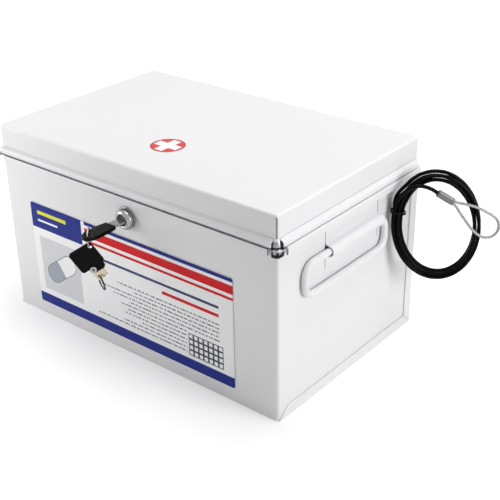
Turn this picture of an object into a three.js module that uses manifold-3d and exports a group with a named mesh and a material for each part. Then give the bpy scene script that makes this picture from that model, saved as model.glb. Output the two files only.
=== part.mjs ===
// A small steel medication lock box: a folded body, a pressed lid on a piano hinge,
// a key lock in the front, two drop handles and a coiled tether cable.
// Millimetres, +Z up, +X to the right of the front, the front looks along -Y.
// The origin is the middle of the flat underside.
import * as THREE from 'three';
import { mergeVertices } from 'three/addons/utils/BufferGeometryUtils.js';
import Module from 'manifold-3d';

// Sheet metal
const sheet = 0.9; // steel thickness
const fit = 0.3; // clearance between pieces that touch
const cutRun = 2; // how far a cut runs past what it cuts
const bodyLength = 313; // over the side walls, along X
const bodyDepth = 197; // over the front and back walls, along Y
const seamHeight = 155.5; // top of the rolled rim, above the underside
const lidHeight = 26.5; // lid's top above the rolled rim
const bodyCorner = 3; // outside radius of the upright corners

// Rolled rim of the body
const rimStandout = 4; // how far it stands out of the wall
const rimHeight = 6.5;
const rimEnd = 6.5; // where the roll stops short of a corner
const cornerTabReach = 4.2; // lens-shaped tab that turns out at a front corner
const cornerTabDip = 1.1;
const cornerTabRun = 2.6; // how far the tab runs along each wall
const tabEndShare = 0.15; // of a tab's full reach, where it ends
const tabBendShare = 0.75; // of its full reach, where the corner's bend starts
const notchWidth = 2;
const notchDrop = 8.5; // from the rim's top to the notch's foot
const notchHeight = 4.5;

// Base and back pan
const flangeHeight = 10; // flange folded up outside each side wall
const flangeWidth = 10; // flange folded forward at the back
const flangeTopGap = 0.8; // from the back flange to the rim above it
const mitreRun = 13;
const seamLine = 0.5; // open line where two flanges meet
const panBend = 2.2; // outside radius of the pan's folds
const backTopDrop = 0.6; // back wall's edge below the rim's top
const weldFlange = 11; // flange turned up inside the front wall

// Lid
const lidInset = 0.5; // lid's side walls in from the body's
const lidCorner = 2.6;
const lidEdge = 2.2; // radius along the top edges
const lidGap = 1; // open line between lid and rim
const lipHeight = 6.2;
const lipStandout = 3.8;
const lipFoot = 2.4; // upright part at the lip's foot
const lipEnd = 3.4; // where the lip stops short of a corner
const domeReach = 2.4; // how far a lid corner bulges below the skirt
const lidTabRun = 0.9;
const cornerSeamWidth = 0.8; // open line up each corner of the lid
const cornerSeamDepth = 1.2; // right through the sheet

// Piano hinge
const hingeLength = 280;
const hingeKnuckles = 13;
const knuckleRadius = 2.8;
const knuckleBore = 1.6;
const knuckleGap = 0.6;
const pinRadius = 1.2;
const leafThickness = 1;
const leafHeight = 17;
const leafClear = 0.5; // leaf edge to the other leaf's knuckles
const hingeRise = 0.5; // pin axis above the rim's top

// Drop handles and the pressed bridges that carry them
const bridgeLength = 75; // along Y
const bridgeHeight = 33;
const bridgeCentreY = -1;
const bridgeDrop = 26.5; // bridge's middle below the rim's top
const bridgeClear = 1; // bridge's inside to the rod
const bridgeFillet = 2; // outside radius where the bridge leaves the wall
const slitWidth = 0.8;
const rodRadius = 3;
const handleHalfWidth = 56; // handle's middle to the middle of a leg
const handleDrop = 27.6; // pivot to the middle of the bar
const handleTopBend = 11;
const handleFootBend = 10;
const handleSlide = -11.5; // where the handle lies in its bridge, from the bridge's middle
const handleMouthGap = 20; // between the two inner ends of the rod
const rodSides = 12;
const rodBendSteps = 6;

// Lock, with depths counted inwards from the front wall's face
const lockX = 0;
const lockDrop = 20.7; // lock's middle below the rim's top
const barrelRadius = 7.2;
const barrelEnd = 13;
const bezelRadius = 9.3; // foot of the domed bezel
const bezelFaceRadius = 5.6;
const bezelFace = -6.8;
const bezelFoot = -1.9; // where the dome's curve ends
const bezelSteps = 5;
const flangeRingRadius = 10.2;
const flangeRingThickness = 0.8;
const plugRadius = 4.8;
const plugFace = -6.3;
const plugEnd = 13.3;
const postHalf = 2.4; // square post that drives the cam
const camThickness = 1.6;
const camHalfWidth = 5.5;
const camReach = 27;
const nutFlats = 19;
const nutThickness = 4;
const washerRadius = 5;
const washerThickness = 0.8;
const screwHeadRadius = 4.2;
const screwHeadHeight = 2.2;
const screwRadius = 1.6;
const screwLength = 5;
const screwSlotWidth = 1;
const screwTopShare = 0.7; // of the head's radius
const keyholeHalfWidth = 3.7;
const keyholeHalfHeight = 1.1;
const keyholeEnd = 8.6;
const lockSides = 28;

// Strike bracket in the lid
const strikeLeft = 14;
const strikeWidth = 15;
const strikeThickness = 1.2;
const strikeSetback = 4.4; // tongue behind the front wall's inner face
const strikeShelf = 12; // shelf that the cam hooks over
const strikePlateTop = 4; // below the lid's underside
const strikePlateHeight = 11;
const strikeDrop = 6; // how fast the tongue steps back
const camShelfGap = 1.2; // cam edge to the shelf when locked

// Key, with the same depths as the lock
const bladeHalfWidth = 3.3;
const bladeHalfHeight = 0.75;
const bladeEnd = 8;
const bladeShoulder = -6.8;
const shoulderHalfWidth = 4.7;
const tangEnd = -25;
const biteDepth = 1.1;
const biteCount = 4;
const biteWidthShare = 0.4; // half a bite's width, of the distance from bite to bite
const shallowBiteShare = 0.6; // of a bite's full depth
const headStart = -18.5;
const headEnd = -48.5;
const headHalfWidth = 6.8;
const headNeckHalfWidth = 5.7;
const headTipHalfWidth = 4.3;
const headNeckRun = 8;
const headTipRun = 7;
const headHalfHeight = 1.8;
const headEdge = 0.6;
const headHoleDepth = -44.1;
const headHoleRadius = 2.2;

// What hangs on the key
const hangTurn = 39.5; // degrees that the ring is turned from the lock's axis
const ringRadius = 7.4; // middle of the wire
const ringWire = 0.6;
const fobWidth = 22;
const fobHeight = 20.5;
const fobCorner = 2.6;
const fobTurn = 32.5; // degrees
const fobCentreX = -3.6;
const fobCentreZ = -10.1;
const fobHalfThickness = 1.5;
const fobHoleRadius = 2.1;
const fobEdge = 0.5;
const fobTabWidth = 12.5;
const fobTabReach = 4.6;
const fobTabShift = 2.6;
const rivetX = 1.5;
const rivetZ = -20.4;
const rivetHeadRadius = 2.9;
const rivetHeadHeight = 0.8;
const rivetShank = 1.25;
const rivetBore = 0.8;
const rivetClear = 0.35;
const rivetCrownShare = 0.75; // of the rivet head's radius, at its crown
const rivetRimShare = 0.33; // of the rivet head's height, at its rim
const rivetBackShare = 0.8; // of the rivet head's radius, on the tag's side
const tagWidth = 10;
const tagLength = 11.5;
const tagBack = 3.2; // tag edge above the rivet
const tagThickness = 1;
const tagTurn = 39; // degrees from straight down
const tagCorner = 1.2;
const tagHoleAlong = 8.6;
const tagHoleAcross = -2.2;
const tagHoleRadius = 1.4;
const tagRingRadius = 6.7;
const tagRingWire = 0.5;
const tagRingLean = 12; // degrees
const tagRingYaw = 26; // degrees that its plane is off the line of sight

// Front label
const labelLength = 237;
const labelFootRise = 13.5; // label's foot above the underside
const labelTopDrop = 40; // label's top below the rim's top
const labelCentreX = -6;
const labelThickness = 0.3;
const labelCorner = 2;

// Tether cable
const cableRadius = 1.6;
const cableSides = 6;
const leadSteps = 44;
const cableExitY = 64.7;
const cableExitDrop = 47.5; // hole's middle below the rim's top
const grommetFlange = 4.8;
const grommetNeck = 3.4;
const grommetLip = 1.5;
const stopSleeveRadius = 3.4;
const stopSleeveLength = 8;
const stopSleeveGap = 4;
const cableTail = 2; // cable that stands out of the stop sleeve
const leadStraight = 1.2; // past the wall's face
const leadBend = 3.6;
// The lead joins the coil: degrees round, out from the bundle's middle, forward
const leadPlaces = [
  [170, -2.6, -8.6], [158, 0.8, -7.0], [147, 3.6, -5.4], [136, 4.4, -3.4],
];
const coilBeside = 34; // coil's middle out from the side wall
const coilBehind = 11.8; // coil's middle behind the hole
const coilRise = 8; // coil's middle above the hole
const coilTurn = 39.5; // degrees that the coil's plane is turned from the front wall
const coilHalfWidth = 33.5; // middle of the bundle
const coilHalfHeight = 46.5;
const coilLean = 10; // degrees
const coilPitch = 3.68; // strand to strand
const coilStart = 125; // degrees round from the coil's right
const coilTurns = 3.93;
const turnsToClimb = 0.5;
const stepsPerTurn = 24;
// The tail climbs over the coil: degrees round, out from the bundle's middle, forward
const tailPlaces = [
  [138, 3.7, 3.2], [128, 3.0, 4.9], [118, 0.8, 6.0], [109, -2.2, 6.3],
];
const endSleeveStart = [-2.3, 33.3];
const endSleeveEnd = [10.9, 24.7];
const endSleeveFront = 6.4;
const endSleeveHalfWidth = 3.1;
const endSleeveHalfDepth = 2.1;
const endSleeveCornerShare = 0.8; // corner radius, of half the sleeve's depth
const wireRadius = 1.3;
const wireSides = 8;
const wireSteps = 52;
const wireSpacing = 1.5; // half the distance between the two wires in the sleeve
// Middle of the bare wire loop, across and up from the coil's middle
const wirePoints = [
  [21.3, 22.6], [31.4, 19.3], [41.1, 14.2], [48.3, 8.4], [50.7, 2.0], [48.9, -4.7],
  [43.2, -8.4], [36.2, -7.2], [29.7, -2.0], [23.2, 6.4], [16.9, 15.3],
];
const tieAt = 155; // degrees
const tieWidth = 3.2;
const tieThickness = 0.8;

// Worked out from the sizes above
const frontY = -bodyDepth / 2;
const backY = bodyDepth / 2;
const sideX = bodyLength / 2;
const lidLength = bodyLength - 2 * lidInset;
const lidDepth = bodyDepth;
const boxHeight = seamHeight + lidHeight;
const lockZ = seamHeight - lockDrop;
const bridgeCentreZ = seamHeight - bridgeDrop;
const labelHeight = seamHeight - labelTopDrop - labelFootRise;
const labelCentreZ = labelFootRise + labelHeight / 2;
const cableExitZ = seamHeight - cableExitDrop;
const coilCentre = new THREE.Vector3(sideX + coilBeside, cableExitY + coilBehind, cableExitZ + coilRise);
const rimBend = (rimStandout + sheet) / 2;
const flangeFaceX = sideX + fit + sheet;
const sideEndY = backY - sheet - fit;
const lidFoot = seamHeight + lidGap;
const skirtFoot = lidFoot + lipHeight;
const hingeY = backY + fit + knuckleRadius;
const hingeZ = seamHeight + hingeRise;
const pivotX = sideX + fit + rodRadius;
const bridgeBend = rodRadius + bridgeClear + sheet; // outside radius of the bridge round the rod
const headHoleY = frontY + headHoleDepth;
const degree = Math.PI / 180;
const quarterTurn = 90; // degrees
// The ring hangs over the strip of the head between its hole and its far edge
const headEdgeAway = headHalfWidth / Math.sin(hangTurn * degree);
const ringBehind = (headHoleRadius + headEdgeAway) / 2;
const ringSpan = (headEdgeAway - headHoleRadius) / 2;
const ringDrop = Math.sqrt((ringRadius - ringWire - fit) ** 2 - ringSpan ** 2) - headHalfHeight;

// Finishes
const white = new THREE.MeshStandardMaterial({ color: 0xe9e9ec, roughness: 0.45, metalness: 0.1 });
const hingeSteel = new THREE.MeshStandardMaterial({ color: 0xc9cbcf, roughness: 0.4, metalness: 0.8 });
const chrome = new THREE.MeshStandardMaterial({ color: 0xd9dbdf, roughness: 0.12, metalness: 1 });
const nickel = new THREE.MeshStandardMaterial({ color: 0xc8bfa6, roughness: 0.3, metalness: 1 });
const blackPlastic = new THREE.MeshStandardMaterial({ color: 0x15161a, roughness: 0.35, metalness: 0 });
const blackCable = new THREE.MeshStandardMaterial({ color: 0x0b0b0d, roughness: 0.25, metalness: 0 });
const galvanised = new THREE.MeshStandardMaterial({ color: 0x9a9da1, roughness: 0.4, metalness: 0.9 });
const darkWire = new THREE.MeshStandardMaterial({ color: 0x2c2c30, roughness: 0.3, metalness: 1 });
const paper = new THREE.MeshStandardMaterial({ color: 0xf4f4f6, roughness: 0.5, metalness: 0 });

const wasm = await Module();
wasm.setup();

function toSolid(geometry) {
  const bare = geometry.clone();
  bare.deleteAttribute('normal');
  bare.deleteAttribute('uv');
  const merged = mergeVertices(bare);
  return new wasm.Manifold(new wasm.Mesh({
    numProp: 3,
    vertProperties: Float32Array.from(merged.attributes.position.array),
    triVerts: Uint32Array.from(merged.index.array),
  }));
}

function toGeometry(solid) {
  const raw = solid.getMesh();
  const indexed = new THREE.BufferGeometry();
  const places = Float32Array.from(raw.vertProperties);
  indexed.setAttribute('position', new THREE.BufferAttribute(places, 3));
  indexed.setIndex(new THREE.BufferAttribute(Uint32Array.from(raw.triVerts), 1));
  const loose = indexed.toNonIndexed();
  loose.computeVertexNormals();
  return loose;
}

function join(...geometries) {
  return geometries.map(toSolid).reduce((all, one) => all.add(one));
}

function cut(solid, ...geometries) {
  return geometries.map(toSolid).reduce((left, one) => left.subtract(one), solid);
}

// Turns the faces of a closed geometry outwards when they point in.
function outward(geometry) {
  const place = geometry.attributes.position;
  const index = geometry.index.array;
  const corner = [new THREE.Vector3(), new THREE.Vector3(), new THREE.Vector3()];
  let volume = 0;
  for (let i = 0; i < index.length; i += 3) {
    corner.forEach((point, k) => point.fromBufferAttribute(place, index[i + k]));
    volume += corner[0].dot(corner[1].clone().cross(corner[2]));
  }
  if (volume < 0) {
    for (let i = 0; i < index.length; i += 3) {
      [index[i + 1], index[i + 2]] = [index[i + 2], index[i + 1]];
    }
  }
  return geometry;
}

// Skins a row of like outlines and closes both ends. ends holds the first and last outline, flat.
function loft(rings, firstOutline, lastOutline = firstOutline) {
  const count = rings[0].length;
  const positions = rings.flat().flatMap((point) => [point.x, point.y, point.z]);
  const index = [];
  for (let ring = 0; ring + 1 < rings.length; ring += 1) {
    for (let k = 0; k < count; k += 1) {
      const next = (k + 1) % count;
      const a = ring * count + k;
      const b = ring * count + next;
      index.push(a, b, b + count, a, b + count, a + count);
    }
  }
  const last = (rings.length - 1) * count;
  for (const [a, b, c] of THREE.ShapeUtils.triangulateShape(firstOutline, [])) {
    index.push(c, b, a);
  }
  for (const [a, b, c] of THREE.ShapeUtils.triangulateShape(lastOutline, [])) {
    index.push(last + a, last + b, last + c);
  }
  const area = THREE.ShapeUtils.area(firstOutline);
  const geometry = new THREE.BufferGeometry();
  geometry.setAttribute('position', new THREE.Float32BufferAttribute(positions, 3));
  // The side faces above follow an outline that runs counter-clockwise; the ends follow theirs.
  if (area < 0) {
    const endsFrom = (rings.length - 1) * count * 6;
    for (let i = endsFrom; i < index.length; i += 3) {
      [index[i + 1], index[i + 2]] = [index[i + 2], index[i + 1]];
    }
  }
  geometry.setIndex(index);
  return outward(geometry);
}

// Carries one flat outline along stations; place(u, v, station) gives the point in space.
function carry(outline, stations, place) {
  return loft(stations.map((station) => outline.map((p) => place(p.x, p.y, station))), outline);
}

// Outline of a bent strip: one face follows the points, the other lies a thickness to their left.
function strip(points, thickness) {
  const face = points.map(([x, y]) => new THREE.Vector2(x, y));
  const normals = face.slice(1).map((p, i) => {
    const along = p.clone().sub(face[i]).normalize();
    return new THREE.Vector2(-along.y, along.x);
  });
  const back = face.map((p, i) => {
    const before = normals[Math.max(i - 1, 0)];
    const after = normals[Math.min(i, normals.length - 1)];
    const middle = before.clone().add(after).normalize();
    return p.clone().addScaledVector(middle, thickness / middle.dot(after));
  });
  return [...face, ...back.reverse()];
}

function arc(centreX, centreY, radius, from, to, steps) {
  return Array.from({ length: steps + 1 }, (_, i) => {
    const angle = (from + ((to - from) * i) / steps) * degree;
    return [centreX + radius * Math.cos(angle), centreY + radius * Math.sin(angle)];
  });
}

function block(x0, x1, y0, y1, z0, z1) {
  const geometry = new THREE.BoxGeometry(x1 - x0, y1 - y0, z1 - z0);
  return geometry.translate((x0 + x1) / 2, (y0 + y1) / 2, (z0 + z1) / 2);
}

// A shape drawn in X and Z, given its thickness along Y from y0 to y1.
function upright(shape, y0, y1, curveSegments = 6) {
  const geometry = new THREE.ExtrudeGeometry(shape, {
    depth: y1 - y0, bevelEnabled: false, curveSegments,
  });
  return geometry.rotateX(Math.PI / 2).translate(0, y1, 0);
}

function roundedRectangle(width, height, radius) {
  const x = width / 2;
  const y = height / 2;
  const shape = new THREE.Shape();
  shape.moveTo(-x + radius, -y);
  shape.lineTo(x - radius, -y);
  shape.absarc(x - radius, -y + radius, radius, -Math.PI / 2, 0, false);
  shape.lineTo(x, y - radius);
  shape.absarc(x - radius, y - radius, radius, 0, Math.PI / 2, false);
  shape.lineTo(-x + radius, y);
  shape.absarc(-x + radius, y - radius, radius, Math.PI / 2, Math.PI, false);
  shape.lineTo(-x, -y + radius);
  shape.absarc(-x + radius, -y + radius, radius, Math.PI, Math.PI * 1.5, false);
  return shape;
}

// A turned piece on the lock's line: profile points are radius and depth behind the front face.
function turnedOnLock(profile, sides = lockSides) {
  const points = profile.map(([radius, depth]) => new THREE.Vector2(radius, depth));
  return outward(mergeBare(new THREE.LatheGeometry(points, sides).translate(lockX, frontY, lockZ)));
}

function mergeBare(geometry) {
  const bare = geometry.clone();
  bare.deleteAttribute('normal');
  bare.deleteAttribute('uv');
  const merged = mergeVertices(bare);
  return dropSlivers(merged);
}

// Removes faces that have no area, such as those at a lathe's poles.
function dropSlivers(geometry) {
  const index = geometry.index.array;
  const kept = [];
  for (let i = 0; i < index.length; i += 3) {
    const [a, b, c] = [index[i], index[i + 1], index[i + 2]];
    if (a !== b && b !== c && c !== a) {
      kept.push(a, b, c);
    }
  }
  geometry.setIndex(kept);
  return geometry;
}

const box = new THREE.Group();

function addPiece(name, shape, material, parent = box) {
  const geometry = shape.isBufferGeometry ? shape : toGeometry(shape);
  const mesh = new THREE.Mesh(geometry, material);
  mesh.name = name;
  parent.add(mesh);
  return mesh;
}

// Body wrap: front and side walls in one sheet
function wrapPlan() {
  const r = bodyCorner;
  const inner = r - sheet;
  const plan = new THREE.Shape();
  plan.moveTo(-sideX, sideEndY);
  plan.lineTo(-sideX, frontY + r);
  plan.absarc(-sideX + r, frontY + r, r, Math.PI, Math.PI * 1.5, false);
  plan.lineTo(sideX - r, frontY);
  plan.absarc(sideX - r, frontY + r, r, -Math.PI / 2, 0, false);
  plan.lineTo(sideX, sideEndY);
  plan.lineTo(sideX - sheet, sideEndY);
  plan.lineTo(sideX - sheet, frontY + r);
  plan.absarc(sideX - r, frontY + r, inner, 0, -Math.PI / 2, true);
  plan.lineTo(-sideX + r, frontY + sheet);
  plan.absarc(-sideX + r, frontY + r, inner, -Math.PI / 2, -Math.PI, true);
  plan.lineTo(-sideX + sheet, sideEndY);
  return plan;
}

// The roll in section: out of the wall, over the top and down again
function rimOutline() {
  const middle = rimStandout - rimBend;
  const path = [
    [0, -rimHeight],
    ...arc(middle, -rimBend, rimBend - sheet, 180, 0, 6),
    [rimStandout - sheet, -rimHeight],
  ];
  return strip(path, sheet);
}

// Section of the small tab at a front corner; size runs from 0 at its ends to 1 in its middle
function cornerTabOutline(size) {
  const middle = rimBend - sheet;
  const reach = middle + (cornerTabReach - middle) * size;
  const path = [
    [0, -rimBend - sheet],
    ...arc(middle, -rimBend, middle, 180, 90, 4),
    [reach, -sheet - cornerTabDip * size],
  ];
  return strip(path, sheet);
}

// Carries changing outlines round one front corner, from run before it to run after it
function roundCorner(side, cornerRadius, wallX, wallY, run, outlineAt, topZ) {
  const centreX = side * (wallX - cornerRadius);
  const centreY = wallY + cornerRadius;
  const arcSteps = 6;
  const stations = [{ angle: -quarterTurn, shift: -run, size: tabEndShare }];
  for (let i = 0; i <= arcSteps; i += 1) {
    const swell = (1 - tabBendShare) * Math.sin((Math.PI * i) / arcSteps);
    stations.push({ angle: (i / arcSteps - 1) * quarterTurn, shift: 0, size: tabBendShare + swell });
  }
  stations.push({ angle: 0, shift: run, size: tabEndShare });
  const outlines = stations.map(({ size }) => outlineAt(size));
  const rings = stations.map(({ angle, shift }, i) => outlines[i].map((p) => {
    const alongX = Math.cos(angle * degree);
    const alongY = Math.sin(angle * degree);
    const reach = cornerRadius + p.x;
    const x = centreX + side * (alongX * reach + (angle === -quarterTurn ? shift : 0));
    const y = centreY + alongY * reach + (angle === 0 ? shift : 0);
    return new THREE.Vector3(x, y, topZ + p.y);
  }));
  return loft(rings, outlines[0], outlines.at(-1));
}

// The lanced bridge in section: flat beside the slits, then close round the rod
function bridgeOutline() {
  const half = bridgeHeight / 2 + sheet;
  const foot = bridgeBend + bridgeFillet;
  const path = [
    [-sheet, -half],
    ...arc(bridgeFillet, -foot, bridgeFillet + sheet, 180, 90, 3),
    ...arc(pivotX - sideX, 0, bridgeBend - sheet, -90, 90, 8),
    ...arc(bridgeFillet, foot, bridgeFillet + sheet, -90, -180, 3),
    [-sheet, half],
  ];
  return strip(path, -sheet);
}

function bodyWrap() {
  const wallTop = seamHeight - rimBend;
  const walls = new THREE.ExtrudeGeometry(wrapPlan(), {
    depth: wallTop, bevelEnabled: false, curveSegments: 5,
  });
  const rim = rimOutline();
  const frontRun = [-sideX + rimEnd, sideX - rimEnd];
  const sideRun = [frontY + rimEnd, sideEndY];
  const pieces = [
    walls,
    carry(rim, frontRun, (u, v, s) => new THREE.Vector3(s, frontY - u, seamHeight + v)),
  ];
  const cuts = [];
  const windowY0 = bridgeCentreY - bridgeLength / 2;
  const windowY1 = bridgeCentreY + bridgeLength / 2;
  for (const side of [-1, 1]) {
    const outX = (u) => side * (sideX + u);
    pieces.push(carry(rim, sideRun, (u, v, s) => new THREE.Vector3(outX(u), s, seamHeight + v)));
    pieces.push(roundCorner(side, bodyCorner, sideX, frontY, cornerTabRun, cornerTabOutline, seamHeight));
    cuts.push(block(
      Math.min(outX(-sheet - cutRun), outX(cutRun)), Math.max(outX(-sheet - cutRun), outX(cutRun)),
      windowY0, windowY1,
      bridgeCentreZ - bridgeHeight / 2, bridgeCentreZ + bridgeHeight / 2,
    ));
    // The side walls stand on the pan's floor
    cuts.push(block(
      Math.min(outX(-sheet - cutRun), outX(cutRun)), Math.max(outX(-sheet - cutRun), outX(cutRun)),
      frontY + sheet + fit, sideEndY + cutRun,
      -cutRun, sheet + fit,
    ));
    cuts.push(block(
      Math.min(outX(-sheet - cutRun), outX(cutRun)), Math.max(outX(-sheet - cutRun), outX(cutRun)),
      backY - panBend - fit, sideEndY + cutRun,
      -cutRun, panBend + fit,
    ));
    const notch = new THREE.BoxGeometry(notchWidth, notchWidth * 2, notchHeight);
    notch.rotateZ(side * 45 * degree);
    notch.translate(side * (sideX - sheet), frontY + sheet, seamHeight - notchDrop + notchHeight / 2);
    cuts.push(notch);
  }
  const through = sheet + 2 * cutRun;
  const lockHole = new THREE.CylinderGeometry(barrelRadius + fit, barrelRadius + fit, through, lockSides);
  cuts.push(lockHole.translate(lockX, frontY, lockZ));
  const cableHole = new THREE.CylinderGeometry(grommetNeck + fit, grommetNeck + fit, through, 16);
  cuts.push(cableHole.rotateZ(Math.PI / 2).translate(sideX, cableExitY, cableExitZ));
  const bridges = [-1, 1].map((side) => carry(
    bridgeOutline(), [windowY0 + slitWidth, windowY1 - slitWidth],
    (u, v, s) => new THREE.Vector3(side * (sideX + u), s, bridgeCentreZ + v),
  ));
  return bridges.map(toSolid).reduce((all, one) => all.add(one), cut(join(...pieces), ...cuts));
}
addPiece('body_wrap', bodyWrap(), white);

// Base and back pan: floor and back wall in one sheet, with flanges outside the side walls
function baseBackPan() {
  const frontEdge = frontY + sheet + fit;
  const floorAndBack = strip([
    [frontEdge, weldFlange],
    ...arc(frontEdge + panBend, panBend, panBend, 180, 270, 4),
    ...arc(backY - panBend, panBend, panBend, 270, 360, 4),
    [backY, seamHeight - backTopDrop],
  ], sheet);
  const width = [-flangeFaceX, flangeFaceX];
  const floor = carry(floorAndBack, width, (u, v, s) => new THREE.Vector3(s, u, v));
  const flangeTop = seamHeight - rimHeight - flangeTopGap;
  const outline = [
    [frontY, 0], [backY, 0], [backY, flangeTop], [backY - flangeWidth, flangeTop],
    [backY - flangeWidth, flangeHeight], [frontY + mitreRun, flangeHeight],
  ].map(([x, y]) => new THREE.Vector2(x, y));
  const flanges = [-1, 1].map((side) => carry(
    outline, [side * (sideX + fit), side * flangeFaceX],
    (u, v, s) => new THREE.Vector3(s, u, v),
  ));
  const diagonal = Math.hypot(flangeWidth, flangeHeight);
  const mitres = [-1, 1].map((side) => {
    const groove = new THREE.BoxGeometry(sheet + fit, diagonal, seamLine);
    groove.rotateX(-Math.atan2(flangeHeight, flangeWidth));
    const x = side * (sideX + fit + sheet / 2 + fit / 2);
    return groove.translate(x, backY - flangeWidth / 2 - sheet, flangeHeight / 2 + sheet);
  });
  // The weld flange in front stands between the side walls
  const frontCorners = [-1, 1].map((side) => {
    const near = side * (sideX - sheet - fit - bodyCorner);
    const far = side * (flangeFaceX + cutRun);
    return block(
      Math.min(near, far), Math.max(near, far), frontEdge - cutRun, frontEdge + sheet + bodyCorner,
      sheet, weldFlange + cutRun,
    );
  });
  const pan = cut(toSolid(floor), ...frontCorners);
  return cut(flanges.map(toSolid).reduce((all, one) => all.add(one), pan), ...mitres);
}
addPiece('base_back_pan', baseBackPan(), white);

// Lid: pressed shell, with a lip flared out round the front and sides
const cornerSigns = [[1, -1], [1, 1], [-1, 1], [-1, -1]];
function roundedRing(halfX, halfY, radius, z) {
  return cornerSigns.flatMap(([sx, sy], k) => {
    const from = (k - 1) * quarterTurn;
    const bend = arc(sx * (halfX - radius), sy * (halfY - radius), radius, from, from + quarterTurn, 4);
    return bend.map(([x, y]) => new THREE.Vector3(x, y, z));
  });
}

function lidOutline(inset, z) {
  const radius = Math.max(lidCorner - inset, sheet / 4);
  return roundedRing(lidLength / 2 - inset, lidDepth / 2 - inset, radius, z);
}

function lidCan(foot) {
  const bend = [90, 60, 30, 0];
  const outer = bend.map((a) => lidOutline(
    lidEdge * (1 - Math.cos(a * degree)), boxHeight - lidEdge + lidEdge * Math.sin(a * degree),
  ));
  const inside = lidEdge - sheet;
  const inner = [...bend].reverse().map((a) => lidOutline(
    sheet + inside * (1 - Math.cos(a * degree)), boxHeight - lidEdge + inside * Math.sin(a * degree),
  ));
  const rings = [...outer, lidOutline(0, foot), lidOutline(sheet, foot), ...inner];
  const flat = (ring) => ring.map((p) => new THREE.Vector2(p.x, p.y));
  return loft(rings, flat(rings[0]), flat(rings.at(-1)));
}

// The lip in section, measured from the lid's outer face and the lip's foot
function lipOutline() {
  const steps = 6;
  const path = [[-sheet, lipHeight + sheet]];
  for (let i = 0; i <= steps; i += 1) {
    const share = i / steps;
    const ease = share * share * (3 - 2 * share);
    path.push([-sheet + lipStandout * ease, lipHeight - (lipHeight - lipFoot) * share]);
  }
  path.push([lipStandout - sheet, 0]);
  return strip(path, sheet);
}

function lidCornerOutline(size) {
  const steps = 3;
  const path = [[-sheet, lipHeight + sheet], [-sheet, lipHeight]];
  for (let i = 1; i <= steps; i += 1) {
    const share = i / steps;
    path.push([-sheet + domeReach * size * Math.sin((share * Math.PI) / 2), lipHeight * (1 - share)]);
  }
  return strip(path, sheet);
}

function lidShell() {
  const lip = lipOutline();
  const halfX = lidLength / 2;
  const halfY = lidDepth / 2;
  const pieces = [
    lidCan(skirtFoot),
    carry(lip, [-halfX + lipEnd, halfX - lipEnd], (u, v, s) => (
      new THREE.Vector3(s, -halfY - u, lidFoot + v))),
  ];
  const rear = strip([[-sheet, lipHeight + sheet], [-sheet, 0]], sheet);
  pieces.push(carry(rear, [-halfX + lidCorner, halfX - lidCorner], (u, v, s) => (
    new THREE.Vector3(s, halfY + u, lidFoot + v))));
  for (const side of [-1, 1]) {
    pieces.push(carry(lip, [-halfY + lipEnd, halfY - lipEnd], (u, v, s) => (
      new THREE.Vector3(side * (halfX + u), s, lidFoot + v))));
    pieces.push(roundCorner(side, lidCorner, halfX, -halfY, lidTabRun, lidCornerOutline, lidFoot));
  }
  const seamTop = boxHeight - lidEdge;
  const seams = cornerSigns.map(([sx, sy]) => {
    const seam = new THREE.BoxGeometry(cornerSeamWidth, 2 * cornerSeamDepth, seamTop - skirtFoot);
    seam.rotateZ((-sx * sy * quarterTurn * degree) / 2);
    const flat = lidCorner * (1 - Math.SQRT1_2); // from the square corner in to the bend
    return seam.translate(sx * (halfX - flat), sy * (halfY - flat), (seamTop + skirtFoot) / 2);
  });
  return cut(join(...pieces), ...seams);
}
addPiece('lid_shell', lidShell(), white);

// Strike bracket: a tongue from the lid's front skirt, with a shelf under the turned cam
function strikeBracket() {
  const skirtY = -lidDepth / 2 + sheet + fit;
  const tongueY = frontY + sheet + strikeSetback;
  const plateTop = boxHeight - sheet - strikePlateTop;
  const plateFoot = plateTop - strikePlateHeight;
  const shelfTop = lockZ - camHalfWidth - camShelfGap;
  const outline = strip([
    [skirtY, plateTop], [skirtY, plateFoot], [tongueY, plateFoot - strikeDrop],
    [tongueY, shelfTop - strikeThickness], [tongueY + strikeShelf, shelfTop - strikeThickness],
  ], strikeThickness);
  const right = strikeLeft + strikeWidth;
  return carry(outline, [lockX + strikeLeft, lockX + right], (u, v, s) => new THREE.Vector3(s, u, v));
}
addPiece('strike_bracket', strikeBracket(), hingeSteel);

// Piano hinge: two leaves with knuckles that share one pin
function hingeLeaf(ownsKnuckle, towards) {
  const pitch = hingeLength / hingeKnuckles;
  const start = -hingeLength / 2;
  const faceY = hingeY - knuckleRadius;
  const nearZ = hingeZ + towards * (knuckleRadius + leafClear);
  const farZ = hingeZ + towards * leafHeight;
  const leaf = (x0, x1, zA, zB) => (
    block(x0, x1, faceY, faceY + leafThickness, Math.min(zA, zB), Math.max(zA, zB)));
  const pieces = [leaf(start, -start, nearZ, farZ)];
  const bores = [];
  for (let i = 0; i < hingeKnuckles; i += 1) {
    const x0 = start + pitch * i + knuckleGap / 2;
    const x1 = start + pitch * (i + 1) - knuckleGap / 2;
    if (ownsKnuckle(i)) {
      const knuckle = new THREE.CylinderGeometry(knuckleRadius, knuckleRadius, x1 - x0, 12);
      pieces.push(knuckle.rotateZ(Math.PI / 2).translate((x0 + x1) / 2, hingeY, hingeZ));
      pieces.push(leaf(x0, x1, hingeZ, nearZ + (towards * leafThickness) / 2));
    }
  }
  const bore = new THREE.CylinderGeometry(knuckleBore, knuckleBore, hingeLength + cutRun, 12);
  bores.push(bore.rotateZ(Math.PI / 2).translate(0, hingeY, hingeZ));
  return cut(join(...pieces), ...bores);
}
addPiece('hinge_leaf_body', hingeLeaf((i) => i % 2 === 0, -1), white);
addPiece('hinge_leaf_lid', hingeLeaf((i) => i % 2 === 1, 1), white);
const pin = new THREE.CylinderGeometry(pinRadius, pinRadius, hingeLength, 12);
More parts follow.
